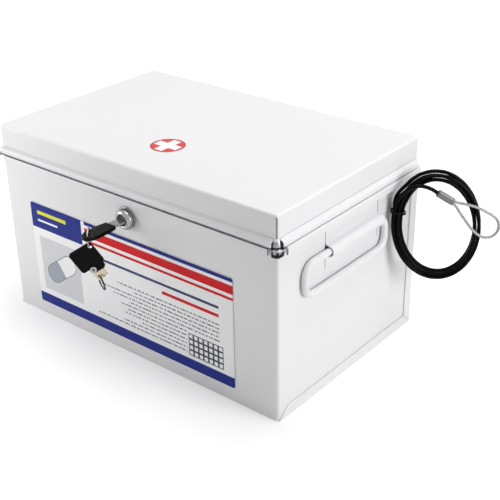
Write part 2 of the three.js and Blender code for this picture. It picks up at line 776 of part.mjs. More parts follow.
addPiece('hinge_pin', toSolid(pin.rotateZ(Math.PI / 2).translate(0, hingeY, hingeZ)), hingeSteel);

// A rod bent along a path, as wide as its radius all the way
function rod(path, radius, sides, steps) {
  const section = new THREE.Shape();
  for (let i = 0; i < sides; i += 1) {
    const angle = (2 * Math.PI * i) / sides;
    const x = radius * Math.cos(angle);
    const y = radius * Math.sin(angle);
    if (i === 0) {
      section.moveTo(x, y);
    } else {
      section.lineTo(x, y);
    }
  }
  return new THREE.ExtrudeGeometry(section, { steps, bevelEnabled: false, extrudePath: path });
}

// A rod bent in one flat plane; across is square to that plane
function flatRod(stations, across, radius, sides) {
  const outline = Array.from({ length: sides }, (_, i) => {
    const angle = (2 * Math.PI * (i + 0.5)) / sides;
    return new THREE.Vector2(radius * Math.cos(angle), radius * Math.sin(angle));
  });
  return carry(outline, stations, (u, v, { at, along }) => {
    const outwards = along.clone().cross(across);
    return at.clone().addScaledVector(outwards, u).addScaledVector(across, v);
  });
}

class Quarter extends THREE.Curve {
  constructor(centre, from, to) {
    super();
    Object.assign(this, { centre, from, to });
  }

  getPoint(t, target = new THREE.Vector3()) {
    const angle = (t * Math.PI) / 2;
    return target.copy(this.centre)
      .addScaledVector(this.from, Math.cos(angle))
      .addScaledVector(this.to, Math.sin(angle));
  }
}

// Drop handle: one rod whose ends turn in the two mouths of its bridge
function dropHandle(side) {
  const middle = bridgeCentreY + handleSlide;
  const top = handleTopBend;
  const foot = handleFootBend;
  const corners = [
    [-handleHalfWidth + top, -top, top], [-handleHalfWidth + foot, foot - handleDrop, foot],
    [handleHalfWidth - foot, foot - handleDrop, foot], [handleHalfWidth - top, -top, top],
  ];
  const places = corners.flatMap(([y, z, radius], k) => {
    const from = (k + 1) * quarterTurn;
    return arc(y, z, radius, from, from + quarterTurn, rodBendSteps).map(([py, pz], i) => {
      const angle = (from + (1 + i / rodBendSteps) * quarterTurn) * degree;
      return { y: py, z: pz, angle };
    });
  });
  places.unshift({ y: -handleMouthGap / 2, z: 0, angle: Math.PI });
  places.push({ y: handleMouthGap / 2, z: 0, angle: Math.PI });
  const stations = places.map(({ y, z, angle }) => ({
    at: new THREE.Vector3(side * pivotX, middle + y, bridgeCentreZ + z),
    along: new THREE.Vector3(0, Math.cos(angle), Math.sin(angle)),
  }));
  return toSolid(flatRod(stations, new THREE.Vector3(1, 0, 0), rodRadius, rodSides));
}
addPiece('handle_left', dropHandle(-1), white);
addPiece('handle_right', dropHandle(1), white);

// Lock
const boreRadius = plugRadius + fit;
const dome = Array.from({ length: bezelSteps + 1 }, (_, i) => {
  const angle = (Math.PI * i) / (2 * bezelSteps);
  return [
    bezelFaceRadius + (bezelRadius - bezelFaceRadius) * Math.sin(angle),
    bezelFoot + (bezelFace - bezelFoot) * Math.cos(angle),
  ];
});
const barrel = turnedOnLock([
  [boreRadius, bezelFace], ...dome,
  [bezelRadius, -flangeRingThickness - 2 * fit], [barrelRadius, -flangeRingThickness - 2 * fit],
  [barrelRadius, barrelEnd], [boreRadius, barrelEnd], [boreRadius, bezelFace],
]);
addPiece('lock_barrel', toSolid(barrel), chrome);
const collarBore = barrelRadius + fit;
addPiece('lock_flange', toSolid(turnedOnLock([
  [collarBore, -flangeRingThickness - fit], [flangeRingRadius, -flangeRingThickness - fit],
  [flangeRingRadius, -fit], [collarBore, -fit], [collarBore, -flangeRingThickness - fit],
])), chrome);

function lockNut() {
  const corner = nutFlats / Math.sqrt(3);
  const hex = new THREE.CylinderGeometry(corner, corner, nutThickness, 6);
  hex.translate(lockX, frontY + sheet + fit + nutThickness / 2, lockZ);
  const hole = new THREE.CylinderGeometry(collarBore, collarBore, nutThickness + 2 * cutRun, lockSides);
  hole.translate(lockX, frontY + sheet + fit + nutThickness / 2, lockZ);
  return cut(toSolid(hex), hole);
}
addPiece('lock_nut', lockNut(), hingeSteel);

function lockPlug() {
  const core = turnedOnLock([[0, plugFace], [plugRadius, plugFace], [plugRadius, plugEnd], [0, plugEnd]]);
  const post = block(
    lockX - postHalf, lockX + postHalf,
    frontY + plugEnd - sheet, frontY + plugEnd + fit + camThickness,
    lockZ - postHalf, lockZ + postHalf,
  );
  const keyhole = block(
    lockX - keyholeHalfWidth, lockX + keyholeHalfWidth, frontY + plugFace - cutRun, frontY + keyholeEnd,
    lockZ - keyholeHalfHeight, lockZ + keyholeHalfHeight,
  );
  const screwHole = turnedOnLock([
    [0, plugEnd - screwLength], [screwRadius + fit, plugEnd - screwLength],
    [screwRadius + fit, plugEnd + camThickness + cutRun], [0, plugEnd + camThickness + cutRun],
  ], 12);
  return cut(join(core, post), keyhole, screwHole);
}
addPiece('lock_plug', lockPlug(), chrome);

const camFace = plugEnd + fit;
function lockCam() {
  const plate = new THREE.Shape();
  plate.moveTo(-camHalfWidth, 0);
  plate.absarc(0, 0, camHalfWidth, Math.PI, 2 * Math.PI, false);
  plate.lineTo(camHalfWidth, camReach - camHalfWidth / 2);
  plate.absarc(camHalfWidth / 2, camReach - camHalfWidth / 2, camHalfWidth / 2, 0, Math.PI / 2, false);
  plate.absarc(
    -camHalfWidth / 2, camReach - camHalfWidth / 2, camHalfWidth / 2, Math.PI / 2, Math.PI, false,
  );
  const eye = new THREE.Path();
  const half = postHalf + fit;
  eye.moveTo(-half, -half);
  eye.lineTo(-half, half);
  eye.lineTo(half, half);
  eye.lineTo(half, -half);
  plate.holes.push(eye);
  const cam = upright(plate, frontY + camFace, frontY + camFace + camThickness);
  return toSolid(cam.translate(lockX, 0, lockZ));
}
addPiece('lock_cam', lockCam(), hingeSteel);

const washerFace = camFace + camThickness + fit;
addPiece('cam_washer', toSolid(turnedOnLock([
  [screwRadius + fit, washerFace], [washerRadius, washerFace],
  [washerRadius, washerFace + washerThickness], [screwRadius + fit, washerFace + washerThickness],
  [screwRadius + fit, washerFace],
], 16)), hingeSteel);

function camScrew() {
  const underHead = washerFace + washerThickness + fit;
  const top = underHead + screwHeadHeight;
  const screw = turnedOnLock([
    [0, underHead - screwLength - camThickness], [screwRadius, underHead - screwLength - camThickness],
    [screwRadius, underHead], [screwHeadRadius, underHead],
    [screwHeadRadius, underHead + screwHeadHeight / 2], [screwHeadRadius * screwTopShare, top], [0, top],
  ], 16);
  const slot = block(
    lockX - screwHeadRadius - cutRun, lockX + screwHeadRadius + cutRun,
    frontY + underHead + screwHeadHeight / 2, frontY + top + cutRun,
    lockZ - screwSlotWidth / 2, lockZ + screwSlotWidth / 2,
  );
  return cut(toSolid(screw), slot);
}
addPiece('cam_screw', camScrew(), hingeSteel);

// Key: a steel blade with a shoulder, its tang held in a plastic head
function keyBlade() {
  const plan = new THREE.Shape();
  plan.moveTo(-bladeHalfWidth, bladeShoulder);
  plan.lineTo(-shoulderHalfWidth, bladeShoulder);
  plan.lineTo(-shoulderHalfWidth, tangEnd);
  plan.lineTo(shoulderHalfWidth, tangEnd);
  plan.lineTo(shoulderHalfWidth, bladeShoulder);
  plan.lineTo(bladeHalfWidth, bladeShoulder);
  const bitePitch = (bladeEnd - bladeShoulder - bladeHalfWidth) / (biteCount + 1);
  for (let i = 1; i <= biteCount; i += 1) {
    const middle = bladeShoulder + bitePitch * i;
    plan.lineTo(bladeHalfWidth, middle - bitePitch * biteWidthShare);
    plan.lineTo(bladeHalfWidth - biteDepth * (i % 2 ? 1 : shallowBiteShare), middle);
    plan.lineTo(bladeHalfWidth, middle + bitePitch * biteWidthShare);
  }
  plan.lineTo(bladeHalfWidth, bladeEnd - bladeHalfWidth / 2);
  plan.lineTo(bladeHalfWidth / 3, bladeEnd);
  plan.lineTo(-bladeHalfWidth / 3, bladeEnd);
  plan.lineTo(-bladeHalfWidth, bladeEnd - bladeHalfWidth / 2);
  const blade = new THREE.ExtrudeGeometry(plan, { depth: 2 * bladeHalfHeight, bevelEnabled: false });
  return toSolid(blade.translate(lockX, frontY, lockZ - bladeHalfHeight));
}
addPiece('key_blade', keyBlade(), nickel);

function keyHead() {
  const plan = new THREE.Shape();
  const tip = headEnd + headTipHalfWidth / 2;
  const outline = [
    [headNeckHalfWidth, headStart], [headHalfWidth, headStart - headNeckRun],
    [headHalfWidth, headEnd + headTipRun], [headTipHalfWidth, tip],
  ].map(([x, y]) => [x - headEdge, y]);
  plan.moveTo(outline[0][0], outline[0][1] - headEdge);
  outline.slice(1).forEach(([x, y]) => plan.lineTo(x, y));
  plan.quadraticCurveTo(headTipHalfWidth / 2, headEnd + headEdge, 0, headEnd + headEdge);
  plan.quadraticCurveTo(-headTipHalfWidth / 2, headEnd + headEdge, -outline[3][0], tip);
  [...outline].reverse().slice(1, 3).forEach(([x, y]) => plan.lineTo(-x, y));
  plan.lineTo(-outline[0][0], outline[0][1] - headEdge);
  const head = new THREE.ExtrudeGeometry(plan, {
    depth: 2 * (headHalfHeight - headEdge), bevelEnabled: true, bevelThickness: headEdge,
    bevelSize: headEdge, bevelSegments: 2, curveSegments: 5,
  });
  const drillLength = 2 * headHalfHeight + cutRun;
  const hole = new THREE.CylinderGeometry(headHoleRadius, headHoleRadius, drillLength, 18);
  hole.rotateX(Math.PI / 2).translate(lockX, headHoleY, lockZ);
  head.translate(lockX, frontY, lockZ - headHalfHeight + headEdge);
  const pocket = block(
    lockX - shoulderHalfWidth - fit, lockX + shoulderHalfWidth + fit,
    frontY + tangEnd - fit, frontY + headStart + cutRun,
    lockZ - bladeHalfHeight - fit, lockZ + bladeHalfHeight + fit,
  );
  return cut(toSolid(head), pocket, hole);
}
addPiece('key_head', keyHead(), blackPlastic);

// Ring through the key head and round its far edge, in the plane that the hanging group is turned to
const hanging = new THREE.Group();
hanging.position.set(lockX, headHoleY, lockZ);
hanging.rotation.z = hangTurn * degree;
box.add(hanging);
const keyRing = new THREE.TorusGeometry(ringRadius, ringWire, 6, 32);
keyRing.rotateY(Math.PI / 2).translate(0, ringBehind, -ringDrop);
addPiece('key_ring', toSolid(keyRing), chrome, hanging);

// Fob, its rivet and the nickel tag, drawn from the fob's hole
const fobPlace = new THREE.Group();
const fobHang = ringDrop + ringRadius + fobHoleRadius - ringWire - fit;
fobPlace.position.set(0, ringBehind, -fobHang);
hanging.add(fobPlace);

function fobPlate() {
  const bevel = {
    depth: 2 * (fobHalfThickness - fobEdge), bevelEnabled: true, bevelThickness: fobEdge,
    bevelSize: fobEdge, bevelSegments: 2, curveSegments: 4,
  };
  const inner = 2 * fobEdge;
  const plate = new THREE.ExtrudeGeometry(
    roundedRectangle(fobWidth - inner, fobHeight - inner, fobCorner - fobEdge), bevel,
  );
  const tab = new THREE.ExtrudeGeometry(
    roundedRectangle(fobTabWidth - inner, 2 * fobTabReach - inner, fobCorner - fobEdge), bevel,
  );
  tab.translate(fobTabShift, -fobHeight / 2, 0);
  const pieces = [plate, tab].map((piece) => piece
    .translate(0, 0, -fobHalfThickness + fobEdge)
    .rotateX(Math.PI / 2)
    .rotateY(-fobTurn * degree)
    .translate(fobCentreX, 0, fobCentreZ));
  const drill = (x, z, radius) => new THREE.CylinderGeometry(
    radius, radius, 2 * fobHalfThickness + 2 * cutRun, 14).translate(x, 0, z);
  const rivetHole = drill(rivetX, rivetZ, rivetShank + rivetClear);
  return cut(join(...pieces), drill(0, 0, fobHoleRadius), rivetHole);
}
addPiece('key_fob', fobPlate(), blackPlastic, fobPlace);

const tagFront = fobHalfThickness + fit;
function fobRivet() {
  const headBack = -fobHalfThickness - fit;
  const farFace = tagFront + tagThickness + fit;
  const profile = [
    [rivetBore, headBack - rivetHeadHeight],
    [rivetHeadRadius * rivetCrownShare, headBack - rivetHeadHeight],
    [rivetHeadRadius, headBack - rivetHeadHeight * rivetRimShare], [rivetHeadRadius, headBack],
    [rivetShank, headBack], [rivetShank, farFace], [rivetHeadRadius * rivetBackShare, farFace],
    [rivetHeadRadius * rivetBackShare, farFace + rivetHeadHeight],
    [rivetBore, farFace + rivetHeadHeight], [rivetBore, headBack - rivetHeadHeight],
  ].map(([r, y]) => new THREE.Vector2(r, y));
  return toSolid(outward(mergeBare(new THREE.LatheGeometry(profile, 16).translate(rivetX, 0, rivetZ))));
}
addPiece('fob_rivet', fobRivet(), chrome, fobPlace);

// Tag and its split ring, drawn from the rivet and turned together
const tagPlace = new THREE.Group();
tagPlace.position.set(rivetX, tagFront, rivetZ);
tagPlace.rotation.y = -tagTurn * degree;
fobPlace.add(tagPlace);
function tagPlate() {
  const length = tagLength + tagBack;
  const plate = upright(roundedRectangle(tagWidth, length, tagCorner), 0, tagThickness, 3);
  plate.translate(0, 0, tagBack - length / 2);
  const drill = (x, z, radius) => new THREE.CylinderGeometry(
    radius, radius, tagThickness + 2 * cutRun, 12).translate(x, tagThickness / 2, z);
  return cut(toSolid(plate), drill(0, 0, rivetShank + rivetClear),
    drill(tagHoleAcross, -tagHoleAlong, tagHoleRadius));
}
addPiece('fob_tag', tagPlate(), nickel, tagPlace);

const tagRingPlace = new THREE.Group();
tagRingPlace.position.set(tagHoleAcross, tagThickness / 2, -tagHoleAlong);
tagRingPlace.rotation.y = (tagTurn - tagRingLean) * degree;
tagPlace.add(tagRingPlace);
const tagRing = new THREE.TorusGeometry(tagRingRadius, tagRingWire, 6, 28);
tagRing.rotateY(Math.PI / 2).translate(0, 0, tagHoleRadius - tagRingWire - fit - tagRingRadius);
tagRing.rotateZ(tagRingYaw * degree);
addPiece('tag_ring', toSolid(tagRing), darkWire, tagRingPlace);

// Label on the front wall
const labelFace = frontY - fit;
const labelShape = roundedRectangle(labelLength, labelHeight, labelCorner);
const labelSheet = upright(labelShape, labelFace - labelThickness, labelFace, 3);
addPiece('front_label', toSolid(labelSheet.translate(labelCentreX, 0, labelCentreZ)), paper);

// Tether: grommet in the side wall and the stop sleeve behind it
const exitPoint = new THREE.Vector3(sideX, cableExitY, cableExitZ);
function turnedOnExit(profile, sides) {
  const points = profile.map(([radius, along]) => new THREE.Vector2(radius, along));
  const geometry = new THREE.LatheGeometry(points, sides).rotateZ(-Math.PI / 2);
  return toSolid(outward(mergeBare(geometry.translate(exitPoint.x, exitPoint.y, exitPoint.z))));
}
const cableBore = cableRadius + fit;
const wallIn = -sheet - fit;
addPiece('cable_grommet', turnedOnExit([
  [cableBore, wallIn - grommetLip], [grommetFlange, wallIn - grommetLip], [grommetFlange, wallIn],
  [grommetNeck, wallIn], [grommetNeck, fit], [grommetFlange, fit],
  [grommetFlange - fit, fit + grommetLip / 2], [grommetNeck, fit + grommetLip],
  [cableBore, fit + grommetLip], [cableBore, wallIn - grommetLip],
], 16), blackPlastic);
const sleeveFace = wallIn - grommetLip - stopSleeveGap;
addPiece('stop_sleeve', turnedOnExit([
  [cableBore, sleeveFace - stopSleeveLength], [stopSleeveRadius, sleeveFace - stopSleeveLength],
  [stopSleeveRadius, sleeveFace], [cableBore, sleeveFace], [cableBore, sleeveFace - stopSleeveLength],
], 12), galvanised);

// Places in the coil's own plane: across, up and forward of its middle
const coilAcross = new THREE.Vector3(Math.cos(coilTurn * degree), Math.sin(coilTurn * degree), 0);
const coilForward = new THREE.Vector3(Math.sin(coilTurn * degree), -Math.cos(coilTurn * degree), 0);
const upwards = new THREE.Vector3(0, 0, 1);
function inCoil(across, up, forward) {
  return coilCentre.clone()
    .addScaledVector(coilAcross, across)
    .addScaledVector(upwards, up)
    .addScaledVector(coilForward, forward);
}

const spread = (coilTurns * coilPitch) / 4; // strands lie this far to each side of the middle
// A place beside the bundle's middle line, so many degrees round it
function besideBundle(degrees, off, forward) {
  const angle = degrees * degree;
  const normal = new THREE.Vector2(coilHalfHeight * Math.cos(angle), coilHalfWidth * Math.sin(angle));
  normal.normalize();
  const place = new THREE.Vector2(
    coilHalfWidth * Math.cos(angle) + off * normal.x,
    coilHalfHeight * Math.sin(angle) + off * normal.y,
  );
  place.rotateAround(new THREE.Vector2(), coilLean * degree);
  return inCoil(place.x, place.y, forward);
}

// Middle of the cable after so many turns: in through one layer, over, out through the next
function coilPoint(turn) {
  const past = turn - coilTurns / 2;
  const climb = Math.min(Math.max(past / turnsToClimb + 1 / 2, 0), 1);
  const off = coilPitch * Math.abs(past) - spread;
  return besideBundle(coilStart - 360 * turn, off, -(coilPitch / 2) * Math.cos(Math.PI * climb));
}

const coilEntry = coilPoint(0);
const coilHeading = coilPoint(1 / stepsPerTurn).sub(coilEntry).normalize();
const leadStart = exitPoint.clone().setX(sideX + sleeveFace - stopSleeveLength - cableTail);
const leadOut = exitPoint.clone().setX(sideX + leadStraight);
function cableLead() {
  const bendCentre = leadOut.clone().addScaledVector(upwards, leadBend);
  const bendTop = bendCentre.clone().setX(leadOut.x + leadBend);
  const down = upwards.clone().multiplyScalar(-leadBend);
  const points = [
    bendTop, ...leadPlaces.map((place) => besideBundle(...place)),
    coilEntry.clone().addScaledVector(coilHeading, -fit - 2 * cableRadius),
    coilEntry.clone().addScaledVector(coilHeading, -fit),
  ];
  const path = new THREE.CurvePath();
  path.add(new THREE.LineCurve3(leadStart, leadOut));
  path.add(new Quarter(bendCentre, down, new THREE.Vector3(leadBend, 0, 0)));
  path.add(new THREE.CatmullRomCurve3(points, false, 'centripetal'));
  return toSolid(rod(path, cableRadius, cableSides + 2, leadSteps));
}
addPiece('cable_lead', cableLead(), blackCable);

const sleeveAlong = new THREE.Vector2(...endSleeveEnd).sub(new THREE.Vector2(...endSleeveStart));
const sleeveLength = sleeveAlong.length();
sleeveAlong.normalize();
const sleeveAcross = new THREE.Vector2(-sleeveAlong.y, sleeveAlong.x);
function beforeSleeve(distance) {
  return inCoil(
    endSleeveStart[0] - distance * sleeveAlong.x,
    endSleeveStart[1] - distance * sleeveAlong.y,
    endSleeveFront,
  );
}
function coilPath() {
  const endOfCoil = Math.floor(coilTurns * stepsPerTurn);
  const points = [coilEntry, coilPoint(1 / (3 * stepsPerTurn))];
  for (let step = 1; step <= endOfCoil; step += 1) {
    points.push(coilPoint(step / stepsPerTurn));
  }
  points.push(...tailPlaces.map((place) => besideBundle(...place)));
  points.push(beforeSleeve(4 * cableRadius), beforeSleeve(2 * cableRadius), beforeSleeve(fit));
  return new THREE.CatmullRomCurve3(points, false, 'centripetal');
}

// Least distance between parts of the cable that aren't neighbours, less its thickness
function leastGap(path, samples) {
  const points = path.getSpacedPoints(samples);
  const step = path.getLength() / samples;
  const skip = Math.ceil((8 * cableRadius) / step);
  let least = Infinity;
  for (let i = 0; i < points.length; i += 1) {
    for (let k = i + skip; k < points.length; k += 1) {
      least = Math.min(least, points[i].distanceTo(points[k]));
    }
  }
  return least - 2 * cableRadius;
}
const coil = coilPath();
console.log(`coil: ${coil.getLength().toFixed(1)} mm, least gap ${leastGap(coil, 900).toFixed(2)} mm`);
const coilSteps = Math.ceil((coilTurns + 0.25) * stepsPerTurn);
addPiece('cable_coil', toSolid(rod(coil, cableRadius, cableSides, coilSteps)), blackCable);

// Tie round the coil's bundle
function coilTie() {
  const centre = besideBundle(tieAt, 0, 0);
  const along = besideBundle(tieAt + 1, 0, 0).sub(besideBundle(tieAt - 1, 0, 0)).normalize();
  const acrossBundle = coilForward.clone().cross(along).normalize();
  const halfWide = spread + cableRadius + fit;
  const halfDeep = coilPitch / 2 + cableRadius + fit;
  const band = roundedRectangle(
    2 * (halfWide + tieThickness), 2 * (halfDeep + tieThickness), halfDeep / 2 + tieThickness);
  band.holes.push(roundedRectangle(2 * halfWide, 2 * halfDeep, halfDeep / 2));
  const geometry = new THREE.ExtrudeGeometry(band, {
    depth: tieWidth, bevelEnabled: false, curveSegments: 3,
  });
  geometry.translate(0, 0, -tieWidth / 2);
  const basis = new THREE.Matrix4().makeBasis(acrossBundle, along.clone().cross(acrossBundle), along);
  return toSolid(geometry.applyMatrix4(basis.setPosition(centre)));
}
addPiece('coil_tie', coilTie(), blackPlastic);

// End sleeve, crimped over the cable and the two ends of the bare wire
function endSleeve() {
  const corner = endSleeveHalfDepth * endSleeveCornerShare;
  const section = roundedRectangle(2 * endSleeveHalfWidth, 2 * endSleeveHalfDepth, corner);
  const geometry = new THREE.ExtrudeGeometry(section, {
    depth: sleeveLength, bevelEnabled: false, curveSegments: 3,
  });
  const inSpace = (way) => coilAcross.clone().multiplyScalar(way.x).addScaledVector(upwards, way.y);
  const direction = inSpace(sleeveAlong);
  const across = inSpace(sleeveAcross);
  const basis = new THREE.Matrix4().makeBasis(across, direction.clone().cross(across), direction);
  basis.setPosition(inCoil(endSleeveStart[0], endSleeveStart[1], endSleeveFront));
  return toSolid(geometry.applyMatrix4(basis));
}
addPiece('end_sleeve', endSleeve(), galvanised);

function wireLoop() {
  const mouth = (side, distance) => inCoil(
    endSleeveEnd[0] + distance * sleeveAlong.x + side * wireSpacing * sleeveAcross.x,
    endSleeveEnd[1] + distance * sleeveAlong.y + side * wireSpacing * sleeveAcross.y,
    endSleeveFront,
  );
  const points = [
    mouth(1, fit), mouth(1, 2 * wireRadius),
    ...wirePoints.map(([x, z]) => inCoil(x, z, endSleeveFront)),
    mouth(-1, 2 * wireRadius), mouth(-1, fit),
  ];
  const path = new THREE.CatmullRomCurve3(points, false, 'centripetal');
  return toSolid(rod(path, wireRadius, wireSides, wireSteps));
}
addPiece('wire_loop', wireLoop(), galvanised);

export default box;
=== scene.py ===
# %% [markdown]
# # A steel medication lock box
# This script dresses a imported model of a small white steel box: a pressed lid on a piano
# hinge, a key lock, two drop handles, a printed label and a coiled tether cable. The model
# gives every piece its place and size in metres. The script adds the surfaces: powder coat,
# chrome, print, vinyl and twisted wire, and rebuilds the pieces whose edges and curves the
# camera sees closely.
#
# First come the camera, the studio and the cable, then one finish after another with the
# pieces that wear it. Sizes are written in millimetres and turned to metres by MM.

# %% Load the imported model
import math

import bmesh
import bpy
from mathutils import Matrix, Vector


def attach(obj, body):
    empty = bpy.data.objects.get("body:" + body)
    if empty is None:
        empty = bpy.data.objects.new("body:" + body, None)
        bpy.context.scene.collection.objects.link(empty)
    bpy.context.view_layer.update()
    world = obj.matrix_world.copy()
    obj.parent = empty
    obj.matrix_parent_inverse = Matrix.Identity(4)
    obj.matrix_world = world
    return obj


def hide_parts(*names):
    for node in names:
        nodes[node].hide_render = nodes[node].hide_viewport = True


MM = 0.001
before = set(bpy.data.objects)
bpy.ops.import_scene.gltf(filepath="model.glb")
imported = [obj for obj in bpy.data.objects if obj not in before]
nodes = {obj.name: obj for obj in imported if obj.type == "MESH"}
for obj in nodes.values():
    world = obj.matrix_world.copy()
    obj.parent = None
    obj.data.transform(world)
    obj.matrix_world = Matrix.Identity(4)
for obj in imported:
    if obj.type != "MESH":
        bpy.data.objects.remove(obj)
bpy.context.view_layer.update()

# %% [markdown]
# ## The camera
# The photograph looks down on the box from the front right, with a lens about twice as long
# as a normal one. The place, the turn and the lens come from the corners of the box in the
# picture, so the camera is placed by a matrix and not by eye.

# %% Camera
VIEW_AZIMUTH = 39.49
VIEW_ELEVATION = 27.49
VIEW_ROLL = -0.94
VIEW_POINT = Vector((558.76, -618.35, 496.9)) * MM
SENSOR_MM = 36
LENS_MM = 73.38
NEAREST_SEEN, FARTHEST_SEEN = 0.01, 20


def camera_axes(azimuth, elevation, roll):
    """Right, up and back directions of a camera that looks at the box."""
    a, e, r = (math.radians(angle) for angle in (azimuth, elevation, roll))
    back = Vector((math.sin(a) * math.cos(e), -math.cos(a) * math.cos(e), math.sin(e)))
    right = Vector((math.cos(a), math.sin(a), 0))
    up = back.cross(right)
    return right * math.cos(r) + up * math.sin(r), up * math.cos(r) - right * math.sin(r), back


camera_data = bpy.data.cameras.new("camera")
camera_data.sensor_width = SENSOR_MM
camera_data.lens = LENS_MM
camera_data.clip_start = NEAREST_SEEN
camera_data.clip_end = FARTHEST_SEEN
camera = bpy.data.objects.new("camera", camera_data)
bpy.context.collection.objects.link(camera)
turn = Matrix(camera_axes(VIEW_AZIMUTH, VIEW_ELEVATION, VIEW_ROLL)).transposed()
camera.matrix_world = Matrix.Translation(VIEW_POINT) @ turn.to_4x4()
bpy.context.scene.camera = camera
print("camera at, m:", [round(c, 3) for c in camera.location], "lens, mm:", LENS_MM)

# %% [markdown]
# ## Colours and nodes
# Colours are written as they look on a screen, and one function turns them to the linear
# values that the renderer mixes. One more function adds a shader node: it sets the node's
# own properties and its sockets, and a socket that is given another node's output is linked
# to it. A material starts empty, so that each of its nodes is chosen.

# %% Helpers for materials


def linear(hex_colour):
    """Linear red, green, blue and alpha of an sRGB hex colour."""
    parts = [int(hex_colour[i : i + 2], 16) / 255 for i in (1, 3, 5)]
    return [c / 12.92 if c <= 0.04045 else ((c + 0.055) / 1.055) ** 2.4 for c in parts] + [1.0]


def add_node(tree, kind, sockets=None, **properties):
    """Adds a node; sockets maps an input's name or number to a value or to another output."""
    node = tree.nodes.new(kind)
    for name, value in properties.items():
        setattr(node, name, value)
    for name, value in (sockets or {}).items():
        if isinstance(value, bpy.types.NodeSocket):
            tree.links.new(value, node.inputs[name])
        else:
            node.inputs[name].default_value = value
    return node


def new_material(name):
    """An empty material and its node tree, with the output node ready."""
    material = bpy.data.materials.new(name)
    material.use_nodes = True
    material.node_tree.nodes.clear()
    add_node(material.node_tree, "ShaderNodeOutputMaterial")
    return material, material.node_tree


def set_surface(tree, shader):
    """Joins a shader to the material's output."""
    output = next(n for n in tree.nodes if n.type == "OUTPUT_MATERIAL")
    tree.links.new(shader, output.inputs["Surface"])


# %% [markdown]
# ## Studio
# The photograph is cut out on white. A backdrop could be curved up behind the box, but a flat
# floor with no visible end is simpler and serves every side. It keeps the box's shadow, and a
# little light of its own, seen by the camera and in reflections only, brings it up to white.
# The lamps fade with distance, so that light grows outwards from the box and makes up for it.

# %% Floor
FLOOR_HALF = 6.0
FLOOR_LIFT, FAR_LIFT = 0.26, 1.0  # strength of the floor's own light, near and far
LIFT_FROM, LIFT_TO = 0.6, 1.8  # metres from the box between which it grows


def seen_directly(tree):
    """1 for rays from the camera, in mirrors and through glass, and 0 for all others."""
    rays = add_node(tree, "ShaderNodeLightPath")
    camera_or_glossy = add_node(tree, "ShaderNodeMath", {
        0: rays.outputs["Is Camera Ray"], 1: rays.outputs["Is Glossy Ray"]}, operation="MAXIMUM")
    return add_node(tree, "ShaderNodeMath", {
        0: camera_or_glossy.outputs[0], 1: rays.outputs["Is Transmission Ray"]},
        operation="MAXIMUM").outputs[0]


# Seamless paper is matt and has no highlight, so it shows the shadow and nothing else
floor_paper, tree = new_material("floor_paper")
paper = add_node(tree, "ShaderNodeBsdfDiffuse", {"Color": linear("#f4f4f4"), "Roughness": 1.0})
glow = add_node(tree, "ShaderNodeEmission", {"Color": linear("#ffffff")})
from_box = add_node(tree, "ShaderNodeVectorMath", {
    0: add_node(tree, "ShaderNodeTexCoord").outputs["Object"]}, operation="LENGTH")
further_out = add_node(tree, "ShaderNodeMapRange", {
    "Value": from_box.outputs["Value"], "From Min": LIFT_FROM, "From Max": LIFT_TO,
    "To Min": FLOOR_LIFT, "To Max": FAR_LIFT})
lift = add_node(tree, "ShaderNodeMath", {
    0: seen_directly(tree), 1: further_out.outputs[0]}, operation="MULTIPLY")
tree.links.new(lift.outputs[0], glow.inputs["Strength"])
both = add_node(tree, "ShaderNodeAddShader", {0: paper.outputs[0], 1: glow.outputs[0]})
set_surface(tree, both.outputs[0])

plane = bmesh.new()
bmesh.ops.create_grid(plane, x_segments=1, y_segments=1, size=FLOOR_HALF)
floor_mesh = bpy.data.meshes.new("floor")
plane.to_mesh(floor_mesh)
plane.free()
floor_mesh.materials.append(floor_paper)
floor = bpy.data.objects.new("floor", floor_mesh)
bpy.context.collection.objects.link(floor)
print("floor:", 2 * FLOOR_HALF, "m across")

# %% [markdown]
# ## Surroundings
# A white room fills the shadows a little. It is much dimmer as a lamp than it looks to the
# camera and in the metals, because a bright room would take the shading off the white box.

# %% World
WORLD_LIGHT, WORLD_SEEN = 0.05, 1.0
world = bpy.data.worlds.new("studio")
bpy.context.scene.world = world
world.use_nodes = True
world.node_tree.nodes.clear()
direct = seen_directly(world.node_tree)
strength = add_node(world.node_tree, "ShaderNodeMapRange", {
    "Value": direct, "To Min": WORLD_LIGHT, "To Max": WORLD_SEEN})
background = add_node(world.node_tree, "ShaderNodeBackground", {
    "Color": linear("#ffffff"), "Strength": strength.outputs[0]})
add_node(world.node_tree, "ShaderNodeOutputWorld", {"Surface": background.outputs[0]})
print("room, strength:", WORLD_LIGHT, "as a lamp,", WORLD_SEEN, "as seen")

# %% [markdown]
# ## Lamps
# Spot lamps would draw hard shadows, so these are squares, like a photographer's soft boxes.
# The one overhead is the strongest and makes the lid brightest. The one at the right lights
# the side. A small one close to the front's left end lets the front fade from light to grey.

# %% Lamps
LAMPS_AIM_AT = Vector((0, 0, 0.09))
LAMPS = {
    # name: (place in metres, width, height, watts)
    "overhead": ((0.1, 0.27, 1.6), 1.6, 1.2, 23.3),
    "right_side": ((1.7, 0.15, 0.55), 0.9, 0.9, 15.4),
    "front_left": ((-0.45, -0.42, 0.25), 0.3, 0.3, 1.6),
}
for name, (place, width, height, watts) in LAMPS.items():
    lamp = bpy.data.lights.new(name, "AREA")
    lamp.shape = "RECTANGLE"
    lamp.size = width
    lamp.size_y = height
    lamp.energy = watts
    holder = bpy.data.objects.new(name, lamp)
    holder.location = place
    towards = LAMPS_AIM_AT - holder.location
    holder.rotation_euler = towards.to_track_quat("-Z", "Y").to_euler()
    bpy.context.collection.objects.link(holder)
bpy.context.scene.view_settings.view_transform = "Standard"
print("lamps, W:", {name: lamp[-1] for name, lamp in LAMPS.items()})

